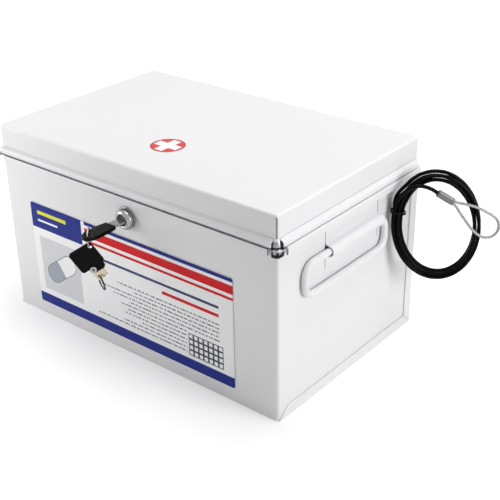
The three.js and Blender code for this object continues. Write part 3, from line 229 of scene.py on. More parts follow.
# %% [markdown]
# ## The tether cable
# The tether is steel rope in a black vinyl jacket, 3.2 mm thick and a little over a metre
# long. It could be drawn by hand, point by point, but nearly four turns that lie beside and on
# each other without cutting through come more surely from a formula: an oval that shrinks by
# one strand with each turn, crosses to the second layer, and grows again.

# %% Shape of the coil
SIDE_X = 156.5
CABLE_RADIUS = 1.6
CABLE_EXIT_Y, CABLE_EXIT_Z = 64.7, 108.0
COIL_CENTRE = Vector((190.5, 76.5, 116.0))
COIL_TURN = math.radians(39.5)
COIL_HALF_WIDTH, COIL_HALF_HEIGHT = 33.5, 46.5
COIL_LEAN = math.radians(10)
COIL_PITCH = 3.68
COIL_START = 125
COIL_TURNS = 3.93
TURNS_TO_CLIMB = 0.5
across = Vector((math.cos(COIL_TURN), math.sin(COIL_TURN), 0))
forward = Vector((math.sin(COIL_TURN), -math.cos(COIL_TURN), 0))
upwards = Vector((0, 0, 1))


def in_coil(right, up, ahead):
    """A place in the coil's own plane, in millimetres."""
    return COIL_CENTRE + across * right + upwards * up + forward * ahead


def beside_bundle(degrees, off, ahead):
    """A place beside the oval middle line of the coil's bundle, so many degrees round it."""
    c, s = math.cos(math.radians(degrees)), math.sin(math.radians(degrees))
    normal = Vector((COIL_HALF_HEIGHT * c, COIL_HALF_WIDTH * s)).normalized()
    x = COIL_HALF_WIDTH * c + off * normal.x
    z = COIL_HALF_HEIGHT * s + off * normal.y
    lean_c, lean_s = math.cos(COIL_LEAN), math.sin(COIL_LEAN)
    return in_coil(x * lean_c - z * lean_s, x * lean_s + z * lean_c, ahead)


def coil_point(turns):
    """The cable's middle after so many turns: in through one layer and out through the next."""
    past = turns - COIL_TURNS / 2
    climb = min(max(past / TURNS_TO_CLIMB + 0.5, 0), 1)
    off = COIL_PITCH * (abs(past) - COIL_TURNS / 4)
    return beside_bundle(COIL_START - 360 * turns, off, -COIL_PITCH / 2 * math.cos(math.pi * climb))


print("coil, mm:", 2 * COIL_HALF_WIDTH, "x", 2 * COIL_HALF_HEIGHT, "turns:", COIL_TURNS)

# %% [markdown]
# ### From the wall to the sleeve
# The lead comes straight out of the grommet, turns up close to the wall and joins the coil
# from behind. The other end leaves the coil in front and runs into the aluminium sleeve of
# the wire eye. The points are the ones that the model's solid follows.

# %% Route of the cable
STRAIGHT_OUT, LEAD_BEND = 1.2, 3.6
STEPS_PER_TURN = 24
LEAD_TO_COIL = ((170, -2.6, -8.6), (158, 0.8, -7.0), (147, 3.6, -5.4), (136, 4.4, -3.4))
COIL_TO_SLEEVE = ((138, 3.7, 3.2), (128, 3.0, 4.9), (118, 0.8, 6.0), (109, -2.2, 6.3))
SLEEVE_START, SLEEVE_END, SLEEVE_FRONT = Vector((-2.3, 33.3)), Vector((10.9, 24.7)), 6.4
BEFORE_SLEEVE = (6.4, 3.2, 0.3)
bend_start = Vector((SIDE_X + STRAIGHT_OUT, CABLE_EXIT_Y, CABLE_EXIT_Z))
route = [Vector((SIDE_X, CABLE_EXIT_Y, CABLE_EXIT_Z)), bend_start]
for angle in (22.5, 45, 67.5, 90):
    a = math.radians(angle)
    route.append(bend_start + LEAD_BEND * Vector((math.sin(a), 0, 1 - math.cos(a))))
route += [beside_bundle(*place) for place in LEAD_TO_COIL]
coil_steps = int(COIL_TURNS * STEPS_PER_TURN)
route += [coil_point(step / STEPS_PER_TURN) for step in range(coil_steps + 1)]
route += [beside_bundle(*place) for place in COIL_TO_SLEEVE]
sleeve_along = (SLEEVE_END - SLEEVE_START).normalized()
for distance in BEFORE_SLEEVE:
    point = SLEEVE_START - sleeve_along * distance
    route.append(in_coil(point.x, point.y, SLEEVE_FRONT))
print("route points:", len(route))

# %% [markdown]
# ### The cable itself
# A tube could be built face by face round the route. A curve is easier: one open spline
# through the points, with a bevel for its thickness. The same function makes the handles and
# the rings further down.

# %% Cable


def line_through(name, points, radius, steps=6, sides=6, closed=False):
    """A round cord, wire or rod: a smooth curve through points, in millimetres.

    The bevel is multiplied by each point's radius. The size is given there, and the bevel is
    1, because Blender adds the points' radius to a curve's box and it is 1 m unless set.
    """
    curve = bpy.data.curves.new(name, "CURVE")
    curve.dimensions = "3D"
    curve.bevel_depth = 1 if radius else 0
    curve.bevel_resolution = sides
    curve.resolution_u = steps
    curve.use_fill_caps = not closed
    spline = curve.splines.new("BEZIER")
    spline.use_cyclic_u = closed
    spline.bezier_points.add(len(points) - 1)
    for knot, point in zip(spline.bezier_points, points):
        knot.co = point * MM
        knot.radius = radius * MM
        knot.handle_left_type = knot.handle_right_type = "AUTO"
    piece = bpy.data.objects.new(name, curve)
    bpy.context.collection.objects.link(piece)
    return piece


cable = line_through("tether_cable", route, CABLE_RADIUS, steps=5, sides=5)
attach(cable, "box")
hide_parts("cable_lead", "cable_coil")

# %% [markdown]
# ## White powder coat
# The steel is coated with polyester powder, sprayed on dry and melted in an oven. It flows
# nearly flat but keeps a fine orange-peel texture of about a millimetre, and it reflects like
# satin paint. One plain shader would look like plastic sheet. A fine bump and slow changes in
# the gloss break up the highlight on the large panels.

# %% Powder coat


def bump_from(tree, scale_mm, depth, strength=0.25):
    """The normal of a bump whose noise has cells scale_mm across and is depth mm deep."""
    place = add_node(tree, "ShaderNodeTexCoord").outputs["Object"]
    cells = add_node(tree, "ShaderNodeTexNoise", {
        "Vector": place, "Scale": 1 / (scale_mm * MM), "Detail": 2.0, "Roughness": 0.5})
    return add_node(tree, "ShaderNodeBump", {
        "Height": cells.outputs["Fac"], "Strength": strength, "Distance": depth * MM}).outputs["Normal"]


def slow_change(tree, size_mm, low, high):
    """A number that drifts between low and high over patches about size_mm across.

    Most of the noise lies between 0.35 and 0.65, so that span is stretched to the whole range.
    """
    place = add_node(tree, "ShaderNodeTexCoord").outputs["Object"]
    patches = add_node(tree, "ShaderNodeTexNoise", {
        "Vector": place, "Scale": 1 / (size_mm * MM), "Detail": 3.0})
    return add_node(tree, "ShaderNodeMapRange", {
        "Value": patches.outputs["Fac"], "From Min": 0.35, "From Max": 0.65,
        "To Min": low, "To Max": high}).outputs[0]


def powder_coat(name, colour):
    """The coat's material, its node tree and its shader."""
    material, tree = new_material(name)
    paint = add_node(tree, "ShaderNodeBsdfPrincipled", {
        "Base Color": linear(colour), "IOR": 1.5,
        "Roughness": slow_change(tree, size_mm=55, low=0.34, high=0.42),
        "Normal": bump_from(tree, scale_mm=1.4, depth=0.05)})
    set_surface(tree, paint.outputs[0])
    return material, tree, paint


# Near white with a broad soft highlight, which the eye takes for baked satin paint
COAT_WHITE = "#ebebec"
white_coat, _, _ = powder_coat("white_powder_coat", COAT_WHITE)
print("made", white_coat.name)

# %% [markdown]
# ### Painted shade in the crease of the lid
# The lid shows a grey hairline of shade in the crease over each side lip, where the lip turns out. It
# could be cut as a groove, but it is only half a millimetre wide and has no depth to speak of, so the
# shade is painted: the lid's coat turns grey there.

# %% Coat of the lid
# Grey of the shade painted in the crease
CREASE_SHADE_GREY = "#a9adaf"
CREASE_Z, CREASE_HALF_WIDTH = 162.9, 0.22
LID_HALF_LENGTH, WALL_DEPTH = 156.0, 0.2
MIX_FACTOR, MIX_A, MIX_B, MIX_RESULT = 0, 6, 7, 2  # a Mix node's sockets for colours
lid_coat, tree, paint = powder_coat("white_powder_coat_on_lid", COAT_WHITE)
place = add_node(tree, "ShaderNodeSeparateXYZ", {
    0: add_node(tree, "ShaderNodeTexCoord").outputs["Object"]})
in_crease = add_node(tree, "ShaderNodeMath", {
    0: place.outputs["Z"], 1: CREASE_Z * MM, 2: CREASE_HALF_WIDTH * MM}, operation="COMPARE")
from_middle = add_node(tree, "ShaderNodeMath", {0: place.outputs["X"]}, operation="ABSOLUTE")
on_side = add_node(tree, "ShaderNodeMath", {
    0: from_middle.outputs[0], 1: (LID_HALF_LENGTH - WALL_DEPTH) * MM}, operation="GREATER_THAN")
# Painted shade: the coat turns grey along the crease over both side lips
painted_crease_shade = add_node(tree, "ShaderNodeMath", {
    0: in_crease.outputs[0], 1: on_side.outputs[0]}, operation="MULTIPLY")
coat_colour = add_node(tree, "ShaderNodeMix", {
    MIX_FACTOR: painted_crease_shade.outputs[0], MIX_A: linear(COAT_WHITE), MIX_B: linear(CREASE_SHADE_GREY)},
    data_type="RGBA")
tree.links.new(coat_colour.outputs[MIX_RESULT], paint.inputs["Base Color"])
print("made", lid_coat.name)

# %% [markdown]
# ## Pieces from the model
# The model's own meshes could be kept and only coloured, and the small hidden pieces are. The
# others are made anew. One function turns any shape into a piece: it shades the bends smooth,
# keeps the sharp edges, and says which body carries the piece and what it stands for.

# %% Finished pieces
SMOOTH_BELOW = 35  # degrees of turn up to which two faces are shaded as one


def finished(name, shape, material, body, replaced=()):
    """Makes a piece from a shape in metres. It rides on a body and stands for model nodes."""
    mesh = bpy.data.meshes.new(name)
    shape.to_mesh(mesh)
    shape.free()
    mesh.shade_smooth()
    mesh.set_sharp_from_angle(angle=math.radians(SMOOTH_BELOW))
    mesh.materials.append(material)
    piece = bpy.data.objects.new(name, mesh)
    bpy.context.collection.objects.link(piece)
    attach(piece, body)
    if replaced:
        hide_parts(*replaced)
    print(name, "faces:", len(mesh.polygons))
    return piece


# %% [markdown]
# ### Round edges
# The model's meshes are loose triangles with hard facets. A copy has its doubled corners
# merged, so that its curved bends can be shaded as one surface. Its sharp edges are rounded by
# a bevel, which gives each fold and cut edge the thin highlight that real metal has.

# %% Copies with round edges
MERGE_WITHIN = 0.002  # millimetres between doubled corners
FLAT_WITHIN = 0.2  # degrees between faces that are joined
SHARP_ABOVE = 40  # degrees of turn from which an edge is rounded


def merged_copy(node):
    """The node's shape with its doubled corners merged and its flat faces joined."""
    shape = bmesh.new()
    shape.from_mesh(nodes[node].data)
    bmesh.ops.remove_doubles(shape, verts=shape.verts, dist=MERGE_WITHIN * MM)
    bmesh.ops.dissolve_limit(
        shape, angle_limit=math.radians(FLAT_WITHIN), verts=shape.verts, edges=shape.edges)
    return shape


def soften_edges(shape, radius, segments=2):
    """Rounds every sharp edge."""
    sharp = [e for e in shape.edges
             if len(e.link_faces) == 2 and e.calc_face_angle(0) > math.radians(SHARP_ABOVE)]
    bmesh.ops.bevel(
        shape, geom=sharp, offset=radius * MM, offset_type="OFFSET", affect="EDGES",
        segments=segments, profile=0.5, material=-1, clamp_overlap=True)


def softened(name, node, material, body, radius, segments=2, cuts=()):
    """A piece that is the model's node with rounded edges, and with its faces cut at planes.

    Large faces rule the shading, so that a flat panel stays flat right up to its round edge.
    """
    shape = merged_copy(node)
    soften_edges(shape, radius, segments)
    for middle, facing in cuts:
        bmesh.ops.bisect_plane(
            shape, geom=shape.verts[:] + shape.edges[:] + shape.faces[:],
            plane_co=Vector(middle) * MM, plane_no=facing)
    piece = finished(name, shape, material, body, [node])
    flat_panels = piece.modifiers.new("flat_panels", "WEIGHTED_NORMAL")
    flat_panels.keep_sharp = True
    flat_panels.weight = 100
    return piece


# %% [markdown]
# ## Lid, body and pan
# The body is one sheet round the front and both sides, the pan another under and behind it, and the lid
# is pressed. They are the model's own shapes with their edges rounded. At the front corners, where
# painted shade and rubbed steel take the coat's place, the faces are first cut at planes, so that the
# finish can change along a line.

# %% Sheet steel
FRONT_Y, SEAM_Z = -98.5, 155.5
RECESS_FOOT, RECESS_X, RECESS_Y = 146.6, 150.4, -90.9
LENS_FOOT, LENS_X, LENS_Y = 149.4, 152.2, -93.6
DOME_TOP = 160.9
UP, EAST, NORTH = (0, 0, 1), (1, 0, 0), (0, 1, 0)
corner_cuts = [((0, 0, z), UP) for z in (RECESS_FOOT, LENS_FOOT)]
corner_cuts += [((x, 0, 0), EAST) for x in (RECESS_X, LENS_X, -RECESS_X, -LENS_X)]
corner_cuts += [((0, y, 0), NORTH) for y in (RECESS_Y, LENS_Y)]
pressed_lid = softened(
    "pressed_lid", "lid_shell", lid_coat, "lid", radius=0.25,
    cuts=[((0, 0, DOME_TOP), UP)])
folded_body = softened(
    "folded_body", "body_wrap", white_coat, "box", radius=0.2,
    cuts=corner_cuts)
softened("back_and_base_pan", "base_back_pan", white_coat, "box", radius=0.2)
for name, node, body in (
        ("hinge_half_on_body", "hinge_leaf_body", "box"), ("hinge_half_on_lid", "hinge_leaf_lid", "lid")):
    softened(name, node, white_coat, body, radius=0.1, segments=1)

# %% [markdown]
# ## Drop handles
# Each handle is one steel rod, bent into a flat loop whose two ends turn in the mouths of the
# pressed bridge. It is coated with the same powder. The model's rod has facets, so a curve
# with a round bevel follows its middle line, and its bends are as smooth as a bending tool
# leaves them.

# %% Handles
ROD_RADIUS = 3.0
HANDLE_X = 159.8
HANDLE_MIDDLE_Y, HANDLE_Z = -12.5, 129.0
HANDLE_HALF_WIDTH, HANDLE_DROP, HANDLE_MOUTH_GAP = 56, 27.6, 20
TOP_BEND, FOOT_BEND = 11, 10
BEND_STEPS = 6


def handle_points(side):
    """The rod's middle line, with each bend as a quarter of a circle."""
    half, top, foot = HANDLE_HALF_WIDTH, TOP_BEND, FOOT_BEND
    corners = (
        (-half + top, -top, top, 90), (-half + foot, foot - HANDLE_DROP, foot, 180),
        (half - foot, foot - HANDLE_DROP, foot, 270), (half - top, -top, top, 360))
    flat = [(-HANDLE_MOUTH_GAP / 2, 0)]
    for y, z, radius, start in corners:
        for step in range(BEND_STEPS + 1):
            angle = math.radians(start + 90 * step / BEND_STEPS)
            flat.append((y + radius * math.cos(angle), z + radius * math.sin(angle)))
    flat.append((HANDLE_MOUTH_GAP / 2, 0))
    return [Vector((side * HANDLE_X, HANDLE_MIDDLE_Y + y, HANDLE_Z + z)) for y, z in flat]


for side, name in ((-1, "left"), (1, "right")):
    bail = line_through(f"bail_{name}", handle_points(side), ROD_RADIUS, steps=4, sides=6)
    bail.data.materials.append(white_coat)
    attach(bail, f"{name}_bail")
    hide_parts(f"handle_{name}")
    print(bail.name, "rod length, mm:", round(bail.data.splines[0].calc_length() / MM))

# %% [markdown]
# ## Metals
# Chrome plate is a mirror with hardly any grain. Nickel is warmer and a little duller. Zinc
# plate and galvanised wire are dull grey, with fine marks from the drawing die. They could
# share one grey metal, but beside each other the eye tells them apart by tint and sharpness.
# The white studio is all that they reflect, so most of their colours are set darker than the
# metal's own, to look as they do in a real room.

# %% Metal finishes


def plated(name, colour, roughness, grain_mm=0.6, grain_depth=0.01):
    """A plated or bare metal: mirror-like, with faint marks and slow changes in its polish."""
    material, tree = new_material(name)
    metal = add_node(tree, "ShaderNodeBsdfPrincipled", {
        "Base Color": linear(colour), "Metallic": 1.0,
        "Roughness": slow_change(tree, size_mm=4, low=roughness * 0.8, high=roughness * 1.25),
        "Normal": bump_from(tree, grain_mm, grain_depth, strength=0.3)})
    set_surface(tree, metal.outputs[0])
    return material


# Sharp bright reflections that make the lock's dome look turned and polished
chrome = plated("bright_chrome_plate", "#9c9d9f", 0.06)
# Nearly black: painted shade, so the plug looks sunk behind its bright dome
plug_chrome = plated("chrome_painted_dark_as_shade", "#2c2d2f", 0.12)
# A warm tint and a soft sheen, which tell the tag from the steel round it
nickel = plated("nickel_plate", "#bdb39c", 0.24)
# Pale and fairly clear, like a new key blank
key_nickel = plated("nickel_silver_sheet", "#b8b7b3", 0.2)
# Cool light grey with a blurred highlight, the look of plain hardware
zinc = plated("zinc_plated_steel", "#b4b7ba", 0.3)
# Dull, with coarser dents than the others, as the crimping tool leaves it
crimped_aluminium = plated("crimped_aluminium", "#727476", 0.38, grain_mm=0.9, grain_depth=0.03)
# Mid grey that catches a highlight along each strand
galvanised = plated("galvanised_wire", "#919395", 0.28)
# Black with a thin glint, so that the split ring still reads as wire; in the wire eye the same black is
# painted shade in the core between the strands
black_wire_and_core_shade = plated("blackened_wire_and_painted_core_shade", "#0d0d0e", 0.3)
metals = (chrome, plug_chrome, nickel, key_nickel, zinc, crimped_aluminium, galvanised, black_wire_and_core_shade)
print("made", ", ".join(metal.name for metal in metals))

# %% [markdown]
# ## Pieces inside the box and in the hinge
# These keep the model's own meshes, because they are small, plain and mostly hidden, and only
# need their zinc plate.

# %% Zinc plated pieces


def finish_with(material, *names):
    """Gives each named node of the model one finish."""
    for name in names:
        mesh = nodes[name].data
        mesh.materials.clear()
        mesh.materials.append(material)
    print(material.name, "on:", ", ".join(names))


finish_with(zinc, "hinge_pin", "strike_bracket", "lock_nut", "lock_cam", "cam_washer", "cam_screw")

# %% [markdown]
# ## Painted shade at the rim and the front corners, and rubbed steel
# The narrow roll of the rim and the gaps round the corner tabs lie in shade, and that shade is painted on
# their faces as dark and grey steel. Where tab and dome stand proud, the powder is rubbed off. Separate
# pieces could carry this, but it is one sheet, so each face of it gets its finish by where it lies.

# %% Faces with painted shade or rubbed steel
RIM_HEIGHT, RIM_STANDOUT, SHEET = 6.5, 4.0, 0.9
TAB_FOOT, DOME_RUN, PROUD = 153.0, 3.0, 0.1
# Nearly black: painted shade, which the eye takes for a deep gap behind and under the corner tabs
gap_shade_steel = plated("steel_painted_black_as_gap_shade", "#232425", 0.5, grain_mm=1.2)
# Bright and slightly blurred, like steel that hands and the lid rub
rubbed_steel = plated("rubbed_bright_steel", "#8f9194", 0.3, grain_mm=0.9)
# Mid grey: painted shade inside the roll, so it draws a thin line under the lid and not a black one
roll_shade_steel = plated("steel_painted_grey_as_roll_shade", "#5a5c5f", 0.5, grain_mm=1.2)


def body_finish(face):
    """0 coated, 1 painted dark as shade in the corner gaps, 2 rubbed bright, 3 painted grey as shade
    inside the rolled rim.

    A face is inside the roll where its middle lies between the roll's own walls.
    """
    x, y, z = abs(face.center.x) / MM, face.center.y / MM, face.center.z / MM
    in_roll = FRONT_Y - RIM_STANDOUT + SHEET * 0.8 < y < FRONT_Y - SHEET * 0.2 and x < SIDE_X
    if x < RECESS_X or y > RECESS_Y:
        return 3 if in_roll and SEAM_Z - RIM_HEIGHT < z < SEAM_Z - SHEET * 0.8 else 0
    if x > SIDE_X + PROUD or y < FRONT_Y - PROUD:
        return 2 if z > TAB_FOOT else 1
    outwards = face.normal.x * math.copysign(1, face.center.x) - face.normal.y > 0.5
    if x > LENS_X and y < LENS_Y and z > LENS_FOOT and outwards:
        return 2
    return int(outwards and RECESS_FOOT < z < SEAM_Z)


def lid_finish(face):
    """The little dome that bulges out at each front corner is rubbed bright."""
    x, y, z = abs(face.center.x) / MM, face.center.y / MM, face.center.z / MM
    at_corner = x > LID_HALF_LENGTH - DOME_RUN and y < FRONT_Y + DOME_RUN and z < DOME_TOP
    return 1 if at_corner else 0


# The dark and the grey steel are painted shade; the bright one is rubbed steel
for steel in (gap_shade_steel, rubbed_steel, roll_shade_steel):
    folded_body.data.materials.append(steel)
pressed_lid.data.materials.append(rubbed_steel)
for piece, finish_of in ((folded_body, body_finish), (pressed_lid, lid_finish)):
    for face in piece.data.polygons:
        face.material_index = finish_of(face)
    print(piece.name, "faces painted as shade or rubbed bright:", sum(f.material_index > 0 for f in piece.data.polygons))

# %% [markdown]
# ## Lock
# The lock is a small cam lock. Its bezel is turned from brass and chrome plated: a low dome
# round a sunk face. A squashed sphere would do from afar. Here the profile is drawn once, from
# the middle out, and spun round the lock's axis, which is how a lathe makes it.

# %% Turned pieces
LOCK_Z = 134.8
SPIN_STEPS, ROUND_STEPS = 64, 8
DOUBLED_WITHIN = 0.001  # millimetres between corners where a spin meets itself
lock_line = Matrix.Translation((0, FRONT_Y, LOCK_Z)) @ Matrix.Rotation(math.radians(-90), 4, "X")


def spun(profile, place, steps=SPIN_STEPS):
    """Spins a closed profile of (radius, run) points round the local Z axis of a place."""
    shape = bmesh.new()
    points = [shape.verts.new((r, 0, run)) for r, run in profile]
    edges = [shape.edges.new(pair) for pair in zip(points, points[1:] + points[:1])]
    bmesh.ops.spin(
        shape, geom=points + edges, cent=(0, 0, 0), axis=(0, 0, 1), angle=2 * math.pi,
        steps=steps, use_merge=True, use_duplicate=False)
    bmesh.ops.remove_doubles(shape, verts=shape.verts, dist=DOUBLED_WITHIN)
    bmesh.ops.recalc_face_normals(shape, faces=shape.faces)
    bmesh.ops.transform(shape, matrix=Matrix.Scale(MM, 4) @ place, verts=shape.verts)
    return shape


def quarter_round(r, run, radius_r, radius_run, start):
    """Points of a quarter oval from start degrees, for a rounded corner of a profile."""
    angles = [math.radians(start + 90 * step / ROUND_STEPS) for step in range(ROUND_STEPS + 1)]
    return [(r + radius_r * math.cos(a), run + radius_run * math.sin(a)) for a in angles]


# %% [markdown]
# ### Bezel, collar and plug
# Barrel and bezel are one turned piece, so one profile serves both, and the collar behind
# them is a plain ring. The plug has a hole for the key and a square post, which turning
# doesn't make, so it keeps the model's shape and only gets round edges.

# %% Lock pieces
PLUG_BORE, BARREL_RADIUS, BARREL_BACK = 5.1, 7.2, 13
DOME_CREST, DOME_RADIUS = 5.7, 9.3
DOME_FACE, DOME_FOOT, DOME_BACK = -6.8, -1.9, -1.4
bezel = [(PLUG_BORE, -6.3), (5.3, -6.6)]  # a small step down to the plug
bezel += quarter_round(
    DOME_CREST, DOME_FOOT, DOME_RADIUS - DOME_CREST, DOME_FACE - DOME_FOOT, 0)[::-1]
bezel += [(DOME_RADIUS, -1.5), (9.0, DOME_BACK), (BARREL_RADIUS, DOME_BACK)]
bezel += [(BARREL_RADIUS, BARREL_BACK), (PLUG_BORE, BARREL_BACK)]
finished("lock_barrel_and_bezel", spun(bezel, lock_line), chrome, "box", ["lock_barrel"])
collar = [(7.5, -1.1), (9.9, -1.1), (10.2, -0.8), (10.2, -0.3), (7.5, -0.3)]
finished("lock_collar", spun(collar, lock_line), chrome, "box", ["lock_flange"])
# The plug wears chrome painted dark as the shade of its sunk face
softened("turning_plug", "lock_plug", plug_chrome, "lock_core", radius=0.15)

# %% [markdown]
# ## Black plastic, vinyl and leather
# The key's head and the grommet are moulded, the cable's jacket is extruded and the fob is
# grained leather. All three are black, so only their gloss and grain set them apart.

# %% Black finishes


def moulded(name, colour, roughness, grain_mm, grain_depth, gloss):
    """A moulded plastic or a coated one, with a fine even grain."""
    material, tree = new_material(name)
    plastic = add_node(tree, "ShaderNodeBsdfPrincipled", {
        "Base Color": linear(colour), "IOR": 1.49, "Specular IOR Level": gloss,
        "Roughness": slow_change(tree, size_mm=8, low=roughness * 0.85, high=roughness * 1.15),
        "Normal": bump_from(tree, grain_mm, grain_depth, strength=0.5)})
    set_surface(tree, plastic.outputs[0])
    return material


# Satin, with soft light on its edges, which shows the mould's round corners
black_plastic = moulded(
    "moulded_black_abs", "#060607", 0.28, grain_mm=0.5, grain_depth=0.02, gloss=0.09)
# Narrow shiny lines along each turn, so that the turns can be counted
black_vinyl = moulded(
    "black_vinyl_jacket", "#040405", 0.12, grain_mm=2.5, grain_depth=0.04, gloss=0.06)
# Deep matt grain without a highlight, soft to the eye
black_leather = moulded(
    "black_grained_leather", "#060606", 0.55, grain_mm=0.9, grain_depth=0.12, gloss=0.08)
cable.data.materials.append(black_vinyl)
print("made", black_plastic.name, black_vinyl.name, black_leather.name)

# %% [markdown]
# ## Key
# The key is stamped nickel silver with a moulded black head, a long hexagon. The model has
# both shapes, so it is enough to round their edges: little on the blade, more on the head.

# %% Key pieces
softened("key_steel", "key_blade", key_nickel, "key", radius=0.2)
softened(
    "key_handle", "key_head", black_plastic, "key", radius=0.35, segments=3)

# %% [markdown]
# ## What hangs on the key
# A thin ring carries a leather fob. An eyelet at its foot holds a small nickel tag, and a
# split ring hangs in the tag's hole. Each hangs from the one before, so each has a place that
# is worked out from the last: turns and shifts are multiplied along the chain.

# %% Ring, fob and tag
HANG_TURN = math.radians(39.5)
KEY_HOLE = Vector((0, -142.6, 134.8))
RING_RADIUS, RING_WIRE, RING_POINTS = 7.4, 0.6, 16
RING_MIDDLE, FOB_HOLE = Vector((0, 6.45, -3.12)), Vector((0, 6.45, -11.72))
EYELET, TAG_TURN = Vector((1.5, 0, -20.4)), math.radians(39)
TAG_FRONT, TAG_HOLE = 1.8, Vector((-2.2, 0.5, -8.6))
hanging = Matrix.Translation(KEY_HOLE) @ Matrix.Rotation(HANG_TURN, 4, "Z")
fob_place = hanging @ Matrix.Translation(FOB_HOLE)


def circle_points(centre, radius, place):
    """Points round a circle that stands across the local X axis, at a place."""
    angles = [2 * math.pi * i / RING_POINTS for i in range(RING_POINTS)]
    return [place @ (centre + Vector((0, radius * math.cos(a), radius * math.sin(a))))
            for a in angles]


def wire_ring(name, points, radius, material, body, node, closed=True):
    """A ring of round wire in place of one of the model's."""
    ring = line_through(name, points, radius, steps=5, sides=5, closed=closed)
    ring.data.materials.append(material)
    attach(ring, body)
    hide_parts(node)
    print(name, "points:", len(points))


wire_ring(
    "wire_key_ring", circle_points(RING_MIDDLE, RING_RADIUS, hanging), RING_WIRE, chrome,
    "ring", "key_ring")
softened("leather_fob", "key_fob", black_leather, "fob", radius=0.3)
softened("nickel_tag", "fob_tag", nickel, "tag", radius=0.15)

# %% [markdown]
# ### Eyelet
# The eyelet is a short tube whose ends are rolled over, a full round roll in front and a
# flatter one behind. Its profile goes down one side of the wall and up the other, and is spun
# like the lock's.

# %% Eyelet
EYELET_BORE, EYELET_SHANK, EYELET_RADIUS, EYELET_BACK_RADIUS = 0.8, 1.25, 2.9, 2.3
FRONT_TOP, FRONT_FOOT = -2.6, -1.8
BACK_FOOT, BACK_TOP, BACK_EDGE, BACK_ROUND = 3.1, 3.9, 0.3, 0.5
front_middle = (EYELET_RADIUS + EYELET_BORE) / 2
roll_width = (EYELET_RADIUS - EYELET_BORE) / 2
inner_roll, outer_roll = (
    quarter_round(front_middle, FRONT_FOOT, roll_width, FRONT_TOP - FRONT_FOOT, start)[::-1][1:]
    for start in (90, 0))
eyelet = [(EYELET_BORE, FRONT_FOOT)] + inner_roll + outer_roll
eyelet += [(EYELET_SHANK, FRONT_FOOT), (EYELET_SHANK, BACK_FOOT), (EYELET_BACK_RADIUS, BACK_FOOT)]
eyelet += quarter_round(
    EYELET_SHANK, BACK_FOOT + BACK_EDGE, EYELET_BACK_RADIUS - EYELET_SHANK, BACK_ROUND, 0)
eyelet += [(EYELET_BORE, BACK_TOP)]
eyelet_line = fob_place @ Matrix.Translation(EYELET) @ Matrix.Rotation(math.radians(-90), 4, "X")
finished("fob_eyelet", spun(eyelet, eyelet_line, 40), chrome, "fob", ["fob_rivet"])

# %% [markdown]
# ### Split ring
# The ring is two turns of wire side by side, with one crossing between them. A plain torus
# would show one turn. This is an open curve that goes round twice and steps aside halfway.

# %% Split ring
SPLIT_RADIUS, SPLIT_WIRE, SPLIT_STEP, SPLIT_DROP = 6.7, 0.32, 0.33, 6.1
SPLIT_LEAN, SPLIT_YAW = math.radians(12), math.radians(26)
TURN_STEPS, CROSSING, FIRST_END = 20, 0.16, 0.15
tag_place = fob_place @ Matrix.Translation(EYELET + Vector((0, TAG_FRONT, 0))) @ Matrix.Rotation(
    -TAG_TURN, 4, "Y")
split_place = (
    tag_place @ Matrix.Translation(TAG_HOLE) @ Matrix.Rotation(TAG_TURN - SPLIT_LEAN, 4, "Y")
    @ Matrix.Rotation(SPLIT_YAW, 4, "Z") @ Matrix.Translation((0, 0, -SPLIT_DROP)))
split_points = []
for step in range(2 * TURN_STEPS + 1):
    turns = step / TURN_STEPS
    beside = SPLIT_STEP * min(max((turns - 1) / CROSSING, -1), 1)
    angle = 2 * math.pi * (turns - FIRST_END)
    split_points.append(split_place @ Vector((
        beside, SPLIT_RADIUS * math.cos(angle), SPLIT_RADIUS * math.sin(angle))))
wire_ring(
    "split_ring", split_points, SPLIT_WIRE, black_wire_and_core_shade, "split_ring", "tag_ring",
    closed=False)

# %% [markdown]
# ## Label
# The label is coated paper, glued to the front and printed in navy, red and grey: straight
# bands, a plain capsule, grey rules and a chart of empty boxes to tick. An image could be laid
# on it. Here the print is made in the material, from the distance to the label's lower left
# corner, so it stays sharp at any size. Each ink is laid over the ones before it.

# %% Helpers for print
PRINT_GLOSS = 0.15  # low, so that the inks keep their colour in the bright studio


class Print:
    """The inks of one printed sheet, laid over each other in one material."""

    def __init__(self, name, origin, axes, paper):
        self.material, self.tree = new_material(name)
        place = add_node(self.tree, "ShaderNodeMapping", {
            "Vector": add_node(self.tree, "ShaderNodeTexCoord").outputs["Object"],
            "Location": tuple(-c for c in origin), "Scale": (1 / MM, 1 / MM, 1 / MM)})
        split = add_node(self.tree, "ShaderNodeSeparateXYZ", {0: place.outputs[0]})
        self.across, self.up = (split.outputs[axis] for axis in axes)
        self.ink = linear(paper)

    def maths(self, operation, *values):
        """One Math node; values are numbers or outputs."""
        node = add_node(self.tree, "ShaderNodeMath", dict(enumerate(values)), operation=operation)
        return node.outputs[0]

    def between(self, value, low, high):
        """1 where a value lies between low and high."""
        return self.maths("COMPARE", value, (low + high) / 2, (high - low) / 2)

    def bar(self, left, right, foot, top):
        """A bar with square corners, in millimetres."""
        return self.maths(
            "MULTIPLY", self.between(self.across, left, right), self.between(self.up, foot, top))

    def lay(self, mask, colour):
        """Prints a colour where the mask is 1."""
        node = add_node(self.tree, "ShaderNodeMix", {
            MIX_FACTOR: mask, MIX_A: self.ink, MIX_B: linear(colour)}, data_type="RGBA")
        self.ink = node.outputs[MIX_RESULT]

    def finish(self, roughness, normal):
        """Gives the sheet its surface, once all its inks are laid."""
        set_surface(self.tree, add_node(self.tree, "ShaderNodeBsdfPrincipled", {
            "Base Color": self.ink, "Roughness": roughness, "IOR": 1.45,
            "Specular IOR Level": PRINT_GLOSS, "Normal": normal}).outputs[0])
        return self.material


# %% [markdown]
# ### Bands
# Bars with square corners: navy at the foot and the upper left, red and navy ones beside it,
# and a pale grey field under the capsule. Each is given by its left, right, foot and top.

